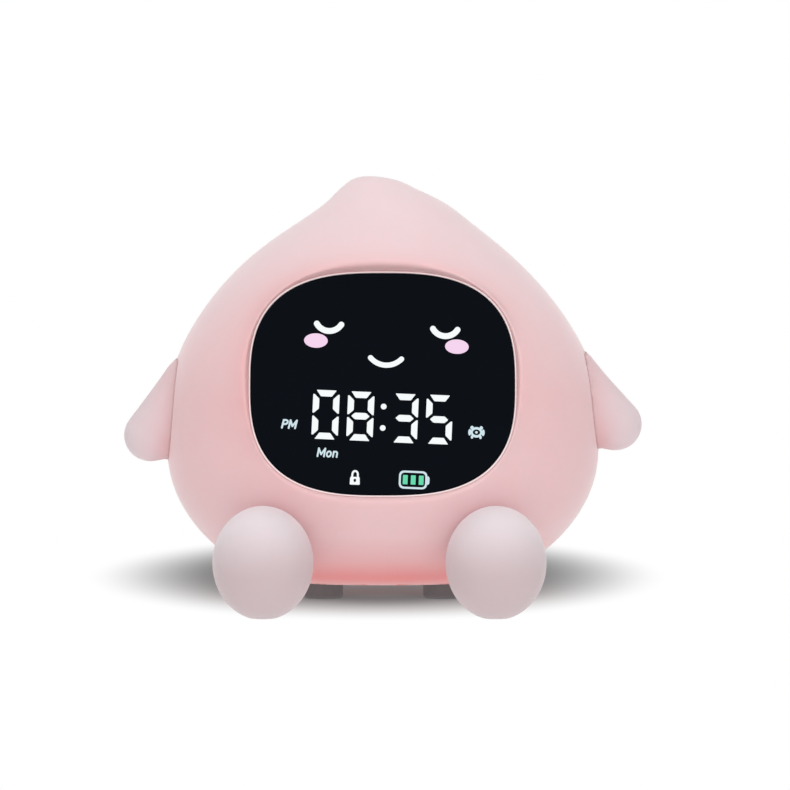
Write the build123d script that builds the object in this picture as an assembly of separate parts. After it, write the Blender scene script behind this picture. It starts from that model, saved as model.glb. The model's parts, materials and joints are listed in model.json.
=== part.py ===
from build123d import *
from math import cos, pi, radians, sin, sqrt
import os

# Kids alarm clock with night light: a pear-shaped silicone body over a hard milky core.
# Millimetres. X to the right, Y to the back, Z up, origin under the middle of the whole clock.

# Overall size
OVERALL_WIDTH = 142.0
OVERALL_DEPTH = 113.0
OVERALL_HEIGHT = 117.0

# Clearances
SOFT_FIT = 0.15          # soft silicone against what carries it
SEAT_FIT = 0.05          # flat faces that are screwed or taped together
HOLE_FIT = 0.05          # screw shanks and studs in their holes
SLIDE_FIT = 0.2          # keys and knob in their openings
FAR_OUT = 40.0           # cuts that leave the body run this far

# Body form
BODY_HALF_WIDTH = 59.4
BODY_HALF_DEPTH = 50.5
BACK_TRIM = 0.69         # what the panel's opening takes off the back of the form
BODY_Y = OVERALL_DEPTH / 2 - BODY_HALF_DEPTH + BACK_TRIM
TIP_Y = 3.0
BASE_Z = 6.5
BELLY_Z = 42.0
LOWER_SWEEP = 41.7       # height of the ellipse that rounds the body under the belly
BODY_POWER = 2.4         # the belly is a little squarer than an ellipse
LOWER_STEPS = (0.0, 0.16, 0.33, 0.55, 0.78)
# Above the belly: share of the height, share of the half width, share of the half width that it leans
UPPER_STEPS = (
    (0.0, 1.0, 0.0), (0.16, 0.992, 0.0), (0.32, 0.961, 0.0), (0.48, 0.864, 0.0),
    (0.62, 0.728, 0.0), (0.74, 0.565, 0.004), (0.84, 0.391, 0.014), (0.915, 0.256, 0.007),
    (0.962, 0.16, -0.028), (0.988, 0.098, -0.046), (1.0, 0.036, -0.067),
)

# Walls
SKIN_WALL = 2.0
CORE_WALL = 1.8
CORE_INSET = SKIN_WALL + 0.1
CAVITY_INSET = CORE_INSET + CORE_WALL
CORE_SPLIT_Y = BODY_Y    # the two halves of the core meet on this plane

# Display window
FACE_Y = -33.9
FACE_Z = 61.7
FACE_LEAN = 12.0
LENS_HALF_WIDTH = 35.1
LENS_HALF_HEIGHT = 29.9
LENS_POWER = 2.8
LENS_THICKNESS = 1.5
RIM_WIDTH = 1.0
RIM_PROUD = 0.35
RIM_LEDGE = 1.8
RIM_FLOOR = 0.5
TAPE_THICKNESS = 0.2
COLLAR_WIDTH = 3.2       # silicone turned in round each opening
COLLAR_FIT = 0.2         # between the collar and the core it lies in
# Soft lip of each opening: rise above the insert and spread beside it
LIP_FLARE = ((0.0, 0.0), (1.4, 0.5), (3.6, 2.1), (8.0, 8.0))
GRID_DEPTH = 6.0
GRID_MARGIN = 2.6
FILM_THICKNESS = 0.2
BOARD_THICKNESS = 1.2
DISPLAY_ROLL = -2.5      # the lit marks are set this much clockwise in the window

# Lit marks, measured in the window from its middle
DIGIT_WIDTH = 7.6
DIGIT_HEIGHT = 13.8
DIGIT_PITCH = 8.95
DIGIT_MIDDLE = 0.3
DIGIT_SPREAD = 6.1       # from the colon to the nearer digit's middle
DIGIT_ROW = -8.65
SEGMENT_WIDTH = 2.0
SEGMENT_GAP = 0.3
COLON_HALF_PITCH = 2.9
COLON_RADIUS = 0.85
SMILE_WIDTH = 1.2
# Middle, radius and sweep of each curved mark, all hanging under their middles
SMILE_MARKS = ((-15.0, 17.9, 4.6, 90), (15.8, 17.8, 4.6, 90), (0.5, 10.3, 5.4, 88))
CHEEK_SPOTS = ((-18.3, 11.0), (19.0, 11.0))
CHEEK_HALF_WIDTH = 3.2
CHEEK_HALF_HEIGHT = 2.05
# Middle and size of the window over each small sign
ICON_SPOTS = ((-24.3, -11.5, 4.4, 3.0), (-13.9, -18.9, 6.0, 3.2), (-6.4, -25.2, 3.4, 4.4),
              (9.2, -25.2, 8.8, 5.2), (25.2, -11.6, 4.8, 4.0))
ICON_ROUND = 0.6
LED_LENGTH = 1.0
LED_WIDTH = 0.5
LED_HEIGHT = 0.4
EAR_OFFSET = 1.6         # from the window's edge to the ear's screw
EAR_RADIUS = 3.2
EAR_REACH = 6.0
EAR_THICKNESS = 2.0
LENS_FIT = 0.1
LENS_CHAMFER = 0.25
SCREW_BITE = 0.9
WINDOW_WALL = 2.0
COLLAR_LIFT = 0.1

# Back panel
PANEL_HALF_WIDTH = 29.0
PANEL_HALF_HEIGHT = 15.5
PANEL_POWER = 3.4
PANEL_THICKNESS = 2.0
PANEL_RECESS = 5.0       # from the back of the body to the panel's face
PANEL_Z = 46.0
KEY_RADIUS = 3.9
KEY_PITCH = 10.2
KEY_ROW = 5.5
KEY_PROUD = 1.6
KEY_TRAVEL = 0.8
KEY_FLANGE = 0.8
KEY_FLANGE_THICKNESS = 1.0
KEY_ROUND = 0.6
KEY_STEM_RADIUS = 1.6
KEY_DISH_RADIUS = 14.0
KEY_DISH_DEPTH = 0.35
KEY_REST_GAP = 0.3
KEY_NAMES = ("mode_key", "alarm_key", "light_key", "plus_key", "minus_key")
PORT_ROW = -6.0
PORT_OFFSET = 11.5
PORT_POCKET_WIDTH = 13.2
PORT_POCKET_HEIGHT = 7.6
PORT_POCKET_DEPTH = 4.8
PORT_POCKET_ROUND = 1.6
POCKET_WALL = 1.2
POCKET_FLOOR = 1.0
USB_WIDTH = 8.94
USB_HEIGHT = 3.26
USB_ROUND = 1.55
USB_METAL = 0.3
USB_FIT = 0.15
USB_TONGUE_WIDTH = 6.7
USB_TONGUE_THICKNESS = 0.7
SWITCH_TRAVEL = 2.5
KNOB_WIDTH = 3.2
KNOB_HEIGHT = 3.6
KNOB_PROUD = 1.4
KNOB_PLATE_THICKNESS = 0.8
KNOB_PLATE_EDGE = 0.7
KNOB_GROOVE = 0.4
KNOB_GROOVE_PITCH = 0.9
LEVER_SIZE = 1.4
LEVER_DEPTH = 1.0
SWITCH_BODY_WIDTH = 11.0
SWITCH_BODY_HEIGHT = 5.6
SWITCH_BODY_DEPTH = 3.6
TACT_SIZE = 6.0
TACT_HEIGHT = 3.2
TACT_BUTTON_RADIUS = 1.7
TACT_BUTTON_HEIGHT = 0.4
BOARD_DROP = 11.6        # from the panel's face to the front of the control board
PANEL_LEDGE = 2.4        # how far the core reaches in under the panel's edge
PANEL_POSTS = ((-23.4, -6.5), (23.4, -6.5), (-5.1, 10.9), (5.1, 10.9))
PANEL_SCREW_LENGTH = 5.4
PANEL_PILOT = 5.0
POST_RADIUS = 1.9
CLIP_WIDTH = 6.0
CLIP_THICKNESS = 1.2
CLIP_CATCH = 0.8
CLIP_X = 14.0
CLIP_GAP = 0.1

# Base
PLATE_INSET = 2.8        # silicone lip left under the body
PLATE_RIM = 6.0          # base plate that lies under the core's floor
PLATE_SHOW = 0.2
PLATE_SCREW_TURNS = (70, 110, 205, 335)
PLATE_SCREW_EDGE = 3.0
PLATE_SCREW_SINK = 0.6
PLATE_SCREW_LENGTH = 5.0
PLATE_BOSS = 3.0
SLOT_WIDTH = 1.8
SLOT_PITCH = 3.6
SLOT_COUNT = 7
BUMPER_RADIUS = 5.4
BUMPER_OFFSET = 16.5
BUMPER_Y = 18.0
BUMPER_SEAT = 0.8
BUMPER_ROUND = 1.0

# Speaker
SPEAKER_RADIUS = 14.5
SPEAKER_RIM = 1.4        # flat rim of the basket
SPEAKER_RIM_HEIGHT = 1.2
SPEAKER_THROAT = 8.4
SPEAKER_HEIGHT = 5.6
SPEAKER_METAL = 0.8
MAGNET_RADIUS = 8.0
MAGNET_HEIGHT = 4.0
MAGNET_BORE = 4.4
SEAL_THICKNESS = 0.8
SEAL_WIDTH = 1.6
CONE_PAPER = 0.5
CONE_CAP_RADIUS = 4.0

# Arms and feet
ARM_RADIUS = 7.2
ARM_Y = -2.0
ARM_LENGTH = 17.0
ARM_STUD_RISE = 7.0      # stud above the middle of the hand
LEFT_HAND_Z = 46.0
RIGHT_HAND_Z = 49.3
LEFT_ARM_ANGLE = 51.0
RIGHT_ARM_ANGLE = 46.0
FOOT_HALF_WIDTH = 13.35
FOOT_HALF_HEIGHT = 15.1
FOOT_HALF_DEPTH = 14.5
FOOT_X = 30.7
FOOT_FLAT = 0.5          # taken off under each foot so that it stands
STUD_RADIUS = 2.4
STUD_HEAD_RADIUS = 4.2
STUD_HEAD_HEIGHT = 1.6
STUD_GRIP = 5.0          # length of stud inside the arm or foot
STUD_SEAT = 6.0          # from the flank to the inner face of the stud's pad
STUD_REACH = 14.0
STUD_PAD_EDGE = 0.8
STUD_PAD_OUT = 4.0       # past the flank, which cuts the pads off
STUD_TIP_GAP = 0.2
FOOT_STUD_TOE = 23.0     # the foot's stud leans inwards and upwards, square to the body's wall
FOOT_STUD_RISE = 40.0
FOOT_ENTRY = 11.95       # from the foot's middle to the body's flank, along its stud

# Screws
SCREW_RADIUS = 1.2
SCREW_HEAD_RADIUS = 2.2
SCREW_HEAD_HEIGHT = 1.4
SCREW_DRIVE_RADIUS = 0.9
SCREW_DRIVE_DEPTH = 0.7
HEAD_FIT = 0.3           # screw heads in their wells
BOSS_WALL = 2.2
SHELL_SCREWS = ((-46.5, 34.0), (46.5, 34.0), (-26.5, 91.0), (26.5, 91.0))
SHELL_PILOT = 9.0
SHELL_CLAMP = 6.0
SHELL_RIB = 12.0         # from each shell screw's post towards the side wall
SHELL_RIB_THICKNESS = 2.0
WELL_WALL = 1.2
WELL_DEPTH = 60.0        # past the back of the core, which cuts the wells off

# Inner frame
CHASSIS_Z = 25.0
CHASSIS_THICKNESS = 2.0
CHASSIS_GAP = 0.6
CHASSIS_PILOT = 8.0
CHASSIS_SCREW_LENGTH = 9.0
DISPLAY_CLEARANCE = 9.0
CHASSIS_SCREW_X = 35.0
CHASSIS_SCREW_FRONT = -12.0
CHASSIS_SCREW_REAR = 28.0
CELL_WIDTH = 50.0
CELL_DEPTH = 28.0
CELL_HEIGHT = 6.4
CELL_Y = -9.0
CELL_ROUND = 1.6
FOAM_THICKNESS = 0.8
FOAM_EDGE = 4.0
STRAP_WIDTH = 8.0
STRAP_THICKNESS = 1.0
STRAP_FOOT = 5.0
MAIN_BOARD_WIDTH = 60.0
MAIN_BOARD_DEPTH = 24.0
MAIN_BOARD_Y = 27.0
MAIN_BOARD_ROUND = 2.0
STANDOFF = 3.2
BOARD_SCREW_INSET = 4.0
BOARD_SCREW_LENGTH = 5.0
# Controller, flash, sound amplifier, coil and charger: middle on the board, width, depth and height
CHIPS = ((0.0, -2.0, 9.0, 9.0, 1.4), (11.0, -3.0, 5.0, 6.0, 1.6), (-11.5, -3.5, 4.0, 5.0, 1.4),
         (-17.5, 2.0, 5.0, 5.0, 2.6), (18.0, 2.5, 3.2, 3.2, 1.2))
SOCKET_ROW = -9.0
SOCKET_PITCH = 9.4
SOCKET_WIDTH = 6.0
SOCKET_DEPTH = 3.4
SOCKET_HEIGHT = 3.0

# Inner leads
PLUG_WIDTH = 5.4
PLUG_DEPTH = 3.0
PLUG_HEIGHT = 2.4
RIBBON_WIDTH = 4.8
RIBBON_THICKNESS = 0.3
WIRE_WIDTH = 2.4         # two wires side by side
WIRE_THICKNESS = 1.2
LEAD_BEND = 1.6
LEAD_Z = 39.6            # leads cross the core at this height, over the cell and under the tower's beams
LEAD_HOLE_RADIUS = 1.8
DISPLAY_PLUG_Z = 46.0
CONTROL_PLUG_Z = 44.0
SPEAKER_LEAD_Y = 12.8    # where the speaker's lead comes up through the shelf
BATTERY_LEAD_X = 20.0
LIGHT_LEAD_Y = 4.0       # where the night light's lead goes down through its table
TOWER_FOOT_X = 15.0
TOWER_FOOT_Y = 10.0
TOWER_TOP = 86.0
COLUMN_RADIUS = 3.2
COLUMN_FOOT_RADIUS = 4.6
COLUMN_FOOT_HEIGHT = 1.6
BEAM_THICKNESS = 2.0
BEAM_HEIGHT = 5.0
BEAM_LEVELS = (42.5, 64.5)
TOP_BEAM_HEIGHT = 8.0
TABLE_THICKNESS = 2.0
TABLE_RADIUS = 15.5
LIGHT_Y = 0.0            # middle of the night light and of the touch spring
LIGHT_COUNT = 8
LIGHT_RING = 10.5
LIGHT_CHIP = (2.8, 3.5, 0.8)
LIGHT_SCREW_X = 6.0
LIGHT_SCREW_LENGTH = 3.0
LIGHT_BOARD_EDGE = 0.5
DIFFUSER_EDGE = 0.7
DIFFUSER_HEIGHT = 13.0
DIFFUSER_WALL = 1.2
TOUCH_Z = 106.6
TOUCH_RADIUS = 5.0
TOUCH_THICKNESS = 0.3
SPRING_RADIUS = 3.0
SPRING_WIRE = 0.7
SPRING_TURNS = 6

FACE = Plane(
    origin=(0, FACE_Y, FACE_Z), x_dir=(1, 0, 0),
    z_dir=(0, -cos(radians(FACE_LEAN)), sin(radians(FACE_LEAN))),
)
PANEL_Y = OVERALL_DEPTH / 2 - PANEL_RECESS
PANEL = Plane(origin=(0, PANEL_Y, PANEL_Z), x_dir=(-1, 0, 0), z_dir=(0, 1, 0))
MARKS = Plane(FACE.location * Location((0, 0, 0), (0, 0, DISPLAY_ROLL)))

# Levels in the window, measured outwards from the front of the lens
LENS_BACK = -LENS_THICKNESS
TAPE_BACK = LENS_BACK - TAPE_THICKNESS
FACE_SEAT = TAPE_BACK - RIM_FLOOR
FILM_BACK = LENS_BACK - SEAT_FIT - FILM_THICKNESS
GRID_FRONT = FILM_BACK - SEAT_FIT
GRID_BACK = GRID_FRONT - GRID_DEPTH
BOARD_BACK = GRID_BACK - SEAT_FIT - BOARD_THICKNESS


def smooth_step(share):
    """Ease from 0 to 1 with no kink at either end."""
    share = min(max(share, 0.0), 1.0)
    return share * share * (3.0 - 2.0 * share)


def oval(half_width, half_height, power, middle=(0.0, 0.0), first=0.0, count=24):
    """A superellipse face: power 2 is an ellipse, higher powers are squarer."""
    points = []
    for step in range(count):
        turn = first + 2.0 * pi * step / count
        reach = (abs(cos(turn)) ** power + abs(sin(turn)) ** power) ** (-1.0 / power)
        across, along = half_width * reach * cos(turn), half_height * reach * sin(turn)
        points.append((middle[0] + across, middle[1] + along))
    return make_face(Spline(*points, periodic=True))


def slab(plane, face, low, high):
    """Extrude a face drawn on a plane between two levels along the plane's normal."""
    return extrude(plane.offset(low) * face, amount=high - low, dir=plane.z_dir)


def rod(plane, spot, radius, low, high):
    return slab(plane, Pos(*spot) * Circle(radius), low, high)


def block(plane, spot, width, height, low, high):
    return slab(plane, Pos(*spot) * Rectangle(width, height), low, high)


def group(solids):
    return Compound(children=[solid.solid() for solid in solids])


# Body form

def body_stations(inset):
    """Height, half width, lean and blend of each body section, moved in by inset square to its flank."""
    outline = []
    for step in LOWER_STEPS:
        height = BASE_Z + step * (BELLY_Z - BASE_Z)
        drop = (BELLY_Z - height) / LOWER_SWEEP
        outline.append((height, BODY_HALF_WIDTH * sqrt(1.0 - drop * drop), 0.0))
    for rise, share, lean in UPPER_STEPS:
        height = BELLY_Z + rise * (OVERALL_HEIGHT - BELLY_Z)
        outline.append((height, share * BODY_HALF_WIDTH, lean * BODY_HALF_WIDTH))
    stations = []
    for index, (height, half_width, lean) in enumerate(outline):
        below = outline[max(index - 1, 0)]
        above = outline[min(index + 1, len(outline) - 1)]
        rise = above[0] - below[0]
        run = above[1] - below[1]
        slope = sqrt(rise * rise + run * run)
        blend = smooth_step((height - BELLY_Z) / (OVERALL_HEIGHT - BELLY_Z))
        stations.append((height + inset * run / slope, half_width - inset * rise / slope, lean, blend))
    return stations


def body_form(inset):
    """The pear form of the body, every wall surface of which is this form at its own inset."""
    sections = []
    for height, half_width, lean, blend in body_stations(inset):
        ratio = BODY_HALF_DEPTH / BODY_HALF_WIDTH * (1.0 - blend) + blend
        middle = (lean, BODY_Y + (TIP_Y - BODY_Y) * blend)
        power = BODY_POWER + (2.0 - BODY_POWER) * blend
        sections.append(Pos(0, 0, height) * oval(half_width, half_width * ratio, power, middle, pi / 4, 16))
    return loft(sections)


OUTER_FORM = body_form(0.0)
SKIN_HOLLOW = body_form(SKIN_WALL)
CORE_FORM = body_form(CORE_INSET)
CAVITY_FORM = body_form(CAVITY_INSET)
SEAT_FORM = body_form(-SOFT_FIT)
CORE_FLOOR = body_stations(CORE_INSET)[0][0]
CAVITY_FLOOR = body_stations(CAVITY_INSET)[0][0]
FLOOR_HALF_WIDTH = body_stations(0.0)[0][1]
FLOOR_RATIO = BODY_HALF_DEPTH / BODY_HALF_WIDTH


def lens_outline(margin):
    return oval(LENS_HALF_WIDTH + margin, LENS_HALF_HEIGHT + margin, LENS_POWER)


def panel_outline(margin):
    return oval(PANEL_HALF_WIDTH + margin, PANEL_HALF_HEIGHT + margin, PANEL_POWER)


def floor_outline(margin):
    """An oval in the flat floor of the body, margin measured from the floor's edge."""
    half_width = FLOOR_HALF_WIDTH + margin
    return Pos(0, BODY_Y) * oval(half_width, FLOOR_HALF_WIDTH * FLOOR_RATIO + margin, BODY_POWER)


# What a collared opening in the body needs, for the window and for the back panel

def trumpet(plane, outline, margin, low, lip):
    """The clearance through the silicone: straight beside the insert, then flaring softly to the flank."""
    throat = slab(plane, outline(margin), low, lip)
    bell = loft([plane.offset(lip + rise) * outline(margin + spread) for rise, spread in LIP_FLARE])
    top_rise, top_spread = LIP_FLARE[-1]
    return throat + bell + slab(plane, outline(margin + top_spread), lip + top_rise, FAR_OUT)


def collar(plane, outline, margin, low):
    """Silicone turned inwards round an opening, before the opening is cut."""
    return slab(plane, outline(margin + COLLAR_WIDTH), low, FAR_OUT)


WINDOW_MARGIN = RIM_WIDTH + SOFT_FIT
PANEL_SEAT = -PANEL_THICKNESS


def silicone_skin():
    """Soft cover: the whole pear, turned in round the window and the back panel, open under the base."""
    collars = collar(FACE, lens_outline, WINDOW_MARGIN, FACE_SEAT + COLLAR_LIFT)
    collars += collar(PANEL, panel_outline, SOFT_FIT, PANEL_SEAT + COLLAR_LIFT)
    skin = OUTER_FORM - (SKIN_HOLLOW - collars)
    skin -= trumpet(FACE, lens_outline, WINDOW_MARGIN, FACE_SEAT - 1.0, RIM_PROUD)
    skin -= trumpet(PANEL, panel_outline, SOFT_FIT, PANEL_SEAT - 1.0, 0.0)
    skin -= slab(Plane.XY, floor_outline(-PLATE_INSET), 0.0, CORE_FLOOR + 1.0)
    for stud in STUDS:
        skin -= rod(stud, (0, 0), STUD_RADIUS + SOFT_FIT, -STUD_REACH, STUD_REACH)
    return skin.solid()


# Hard core

def arm_axis(hand_x, hand_z, angle):
    """Plane at the hand's middle whose normal runs up the arm into the body."""
    side = -1.0 if hand_x > 0 else 1.0
    return Plane(
        origin=(hand_x, ARM_Y, hand_z), x_dir=(0, 1, 0),
        z_dir=(side * cos(radians(angle)), 0, sin(radians(angle))),
    )


HAND_X = OVERALL_WIDTH / 2 - ARM_RADIUS
LEFT_ARM = arm_axis(-HAND_X, LEFT_HAND_Z, LEFT_ARM_ANGLE)
RIGHT_ARM = arm_axis(HAND_X, RIGHT_HAND_Z, RIGHT_ARM_ANGLE)
FOOT_Y = FOOT_HALF_DEPTH - OVERALL_DEPTH / 2
FOOT_Z = FOOT_HALF_HEIGHT - FOOT_FLAT


def arm_stud(side, hand_z):
    """Plane on the flank behind the arm whose normal runs straight into the body."""
    return Plane(
        origin=(side * (BODY_HALF_WIDTH - SEAT_FIT), ARM_Y, hand_z + ARM_STUD_RISE),
        x_dir=(0, 1, 0), z_dir=(-side, 0, 0),
    )


def foot_stud(side):
    """Plane where the foot meets the body whose normal runs into the body, square to its wall."""
    rise = sin(radians(FOOT_STUD_RISE))
    level = cos(radians(FOOT_STUD_RISE))
    inward = (-side * level * sin(radians(FOOT_STUD_TOE)), level * cos(radians(FOOT_STUD_TOE)), rise)
    return Plane(origin=(side * FOOT_X, FOOT_Y, FOOT_Z), z_dir=inward).offset(FOOT_ENTRY)


ARM_STUDS = [arm_stud(-1, LEFT_HAND_Z), arm_stud(1, RIGHT_HAND_Z)]
FOOT_STUDS = [foot_stud(-1), foot_stud(1)]
STUDS = ARM_STUDS + FOOT_STUDS
STUD_PAD_RADIUS = STUD_HEAD_RADIUS + STUD_PAD_EDGE
BOSS_RADIUS = SCREW_RADIUS + BOSS_WALL
WELL_RADIUS = SCREW_HEAD_RADIUS + HEAD_FIT
SPLIT = Plane(origin=(0, CORE_SPLIT_Y, 0), x_dir=(-1, 0, 0), z_dir=(0, 1, 0))
EARS = ((LENS_HALF_WIDTH + EAR_OFFSET, 0.0), (-LENS_HALF_WIDTH - EAR_OFFSET, 0.0),
        (0.0, LENS_HALF_HEIGHT + EAR_OFFSET), (0.0, -LENS_HALF_HEIGHT - EAR_OFFSET))
EAR_FRONT = GRID_BACK + EAR_THICKNESS


def core_walls():
    """The hard core before it is split: one wall, flat behind the window and the back panel."""
    window_edge = WINDOW_MARGIN + COLLAR_WIDTH + COLLAR_FIT
    back_edge = SOFT_FIT + COLLAR_WIDTH + COLLAR_FIT
    window = slab(FACE, lens_outline(window_edge), FACE_SEAT, FAR_OUT)
    back = slab(PANEL, panel_outline(back_edge), PANEL_SEAT, FAR_OUT)
    deep_window = slab(FACE, lens_outline(window_edge + WINDOW_WALL), FACE_SEAT - WINDOW_WALL, FAR_OUT)
    deep_back = slab(PANEL, panel_outline(back_edge + WINDOW_WALL), PANEL_SEAT - WINDOW_WALL, FAR_OUT)
    walls = (CORE_FORM - window - back) - (CAVITY_FORM - deep_window - deep_back)
    walls -= slab(FACE, lens_outline(-RIM_LEDGE), FACE_SEAT - WINDOW_WALL - 1.0, FAR_OUT)
    walls -= slab(PANEL, panel_outline(-PANEL_LEDGE), PANEL_SEAT - WINDOW_WALL - 1.0, FAR_OUT)
    return walls


CORE_WALLS = core_walls()


def stud_pads(studs):
    """Flat-topped pads inside the core that the stud heads pull against."""
    pads = rod(studs[0], (0, 0), STUD_PAD_RADIUS, -STUD_PAD_OUT, STUD_SEAT)
    for stud in studs[1:]:
        pads += rod(stud, (0, 0), STUD_PAD_RADIUS, -STUD_PAD_OUT, STUD_SEAT)
    return pads & CORE_FORM


def chassis_bosses(depth):
    spots = [(side * CHASSIS_SCREW_X, depth) for side in (-1, 1)]
    bosses = [rod(Plane.XY, spot, BOSS_RADIUS, BASE_Z, CHASSIS_Z) for spot in spots]
    return (bosses[0] + bosses[1]) & CORE_FORM


def chassis_holes(depth, radius, low, high):
    holes = [rod(Plane.XY, (side * CHASSIS_SCREW_X, depth), radius, low, high) for side in (-1, 1)]
    return holes[0] + holes[1]


def split_bosses(low, high, radius):
    """Posts across the split, tied to the nearest side wall by a rib."""
    posts = []
    for across, height in SHELL_SCREWS:
        side = -1.0 if across < 0 else 1.0
        post = rod(SPLIT, (-across, height), radius, low, high)
        spot = (-across - side * SHELL_RIB / 2, height)
        rib = block(SPLIT, spot, SHELL_RIB, SHELL_RIB_THICKNESS, low, high)
        posts.append(post + rib)
    merged = posts[0]
    for post in posts[1:]:
        merged += post
    return merged & CORE_FORM


def plate_holes(radius, low, high):
    holes = [rod(Plane.XY, spot, radius, low, high) for spot in PLATE_SCREWS]
    merged = holes[0]
    for hole in holes[1:]:
        merged += hole
    return merged


PLATE_SCREW_RING = FLOOR_HALF_WIDTH - PLATE_INSET - PLATE_SCREW_EDGE
PLATE_SCREWS = [
    (PLATE_SCREW_RING * cos(radians(turn)), BODY_Y + PLATE_SCREW_RING * FLOOR_RATIO * sin(radians(turn)))
    for turn in PLATE_SCREW_TURNS
]


def plate_bosses():
    posts = [rod(Plane.XY, spot, BOSS_RADIUS, CORE_FLOOR, CAVITY_FLOOR + PLATE_BOSS) for spot in PLATE_SCREWS]
    merged = posts[0]
    for post in posts[1:]:
        merged += post
    return merged & CORE_FORM


def base_opening():
    """What the base plate's spigot fills, through the core's floor and its screw posts."""
    return slab(Plane.XY, floor_outline(-PLATE_INSET - PLATE_RIM), 0.0, CAVITY_FLOOR + PLATE_BOSS + 1.0)


def front_shell():
    """Front half of the core, with the window seat, stud pads and screw posts."""
    shell = CORE_WALLS + stud_pads(STUDS) + chassis_bosses(CHASSIS_SCREW_FRONT)
    shell += split_bosses(-SHELL_PILOT, 0.0, BOSS_RADIUS)
    shell += plate_bosses()
    shell -= base_opening()
    shell += rod(Plane.XY, (0, LIGHT_Y), TOUCH_RADIUS, TOUCH_Z + TOUCH_THICKNESS, OVERALL_HEIGHT) & CORE_FORM
    for across, along in EARS:
        shell += rod(FACE, (across, along), BOSS_RADIUS, EAR_FRONT + SEAT_FIT, FACE_SEAT - 0.5) & CORE_FORM
    shell -= slab(SPLIT, Rectangle(400, 400), -SEAT_FIT, 200.0)
    for stud in STUDS:
        shell -= rod(stud, (0, 0), STUD_RADIUS + HOLE_FIT, -STUD_REACH, STUD_REACH)
    shell -= chassis_holes(CHASSIS_SCREW_FRONT, SCREW_RADIUS + HOLE_FIT, CHASSIS_Z - CHASSIS_PILOT, CHASSIS_Z)
    shell -= plate_holes(SCREW_RADIUS + HOLE_FIT, 0.0, CAVITY_FLOOR + PLATE_BOSS - 0.4)
    for across, height in SHELL_SCREWS:
        shell -= rod(SPLIT, (-across, height), SCREW_RADIUS + HOLE_FIT, -SHELL_PILOT + 1.5, 0.0)
    for across, along in EARS:
        shell -= rod(FACE, (across, along), SCREW_RADIUS + HOLE_FIT, BOARD_BACK, FACE_SEAT - 0.6)
    return shell.solid()


def rear_shell():
    """Back half of the core, with the panel seat and the deep screw wells."""
    shell = CORE_WALLS + chassis_bosses(CHASSIS_SCREW_REAR)
    shell += split_bosses(0.0, WELL_DEPTH, WELL_RADIUS + WELL_WALL)
    shell += plate_bosses()
    shell -= base_opening()
    shell -= slab(SPLIT, Rectangle(400, 400), -200.0, SEAT_FIT)
    shell -= chassis_holes(CHASSIS_SCREW_REAR, SCREW_RADIUS + HOLE_FIT, CHASSIS_Z - CHASSIS_PILOT, CHASSIS_Z)
    shell -= plate_holes(SCREW_RADIUS + HOLE_FIT, 0.0, CAVITY_FLOOR + PLATE_BOSS - 0.4)
    for across, height in SHELL_SCREWS:
        shell -= rod(SPLIT, (-across, height), SCREW_RADIUS + HOLE_FIT, 0.0, SHELL_CLAMP + 1.0)
        shell -= rod(SPLIT, (-across, height), WELL_RADIUS, SHELL_CLAMP, WELL_DEPTH + 1.0)
    return shell.solid()


# Arms and feet

def arm(axis, stud):
    """A soft capsule cut to seat on the body's flank."""
    body = rod(axis, (0, 0), ARM_RADIUS, 0.0, ARM_LENGTH) + Location(axis.origin) * Sphere(ARM_RADIUS)
    body -= SEAT_FORM
    body -= rod(stud, (0, 0), STUD_RADIUS + HOLE_FIT, -STUD_GRIP - STUD_TIP_GAP, STUD_REACH)
    return largest(body)


def largest(shape):
    return max(shape.solids(), key=lambda solid: solid.volume)


def foot(side):
    """An egg-shaped foot with a small flat under it and a hollow seat behind."""
    egg = scale(Sphere(1.0), by=(FOOT_HALF_WIDTH, FOOT_HALF_DEPTH, FOOT_HALF_HEIGHT))
    egg = Pos(side * FOOT_X, FOOT_Y, FOOT_Z) * egg
    egg -= Pos(side * FOOT_X, FOOT_Y, -20.0) * Box(80, 80, 40)
    egg -= SEAT_FORM
    stud = foot_stud(side)
    egg -= rod(stud, (0, 0), STUD_RADIUS + HOLE_FIT, -STUD_GRIP - STUD_TIP_GAP, STUD_REACH)
    return largest(egg)


def stud_pair(studs):
    """Studs pushed out from inside the core into the soft arms or feet."""
    pair = []
    for stud in studs:
        shank = rod(stud, (0, 0), STUD_RADIUS, -STUD_GRIP, STUD_SEAT + SEAT_FIT)
        seat = STUD_SEAT + SEAT_FIT
        head = rod(stud, (0, 0), STUD_HEAD_RADIUS, seat, seat + STUD_HEAD_HEIGHT)
        pair.append(shank + head)
    return group(pair)


# Base

PLATE_TOP = CORE_FLOOR - SEAT_FIT
PLATE_BOTTOM = BASE_Z + PLATE_SHOW
BUMPERS = ((-BUMPER_OFFSET, BUMPER_Y), (BUMPER_OFFSET, BUMPER_Y))
SPEAKER_SPOT = (0.0, BODY_Y)


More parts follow.
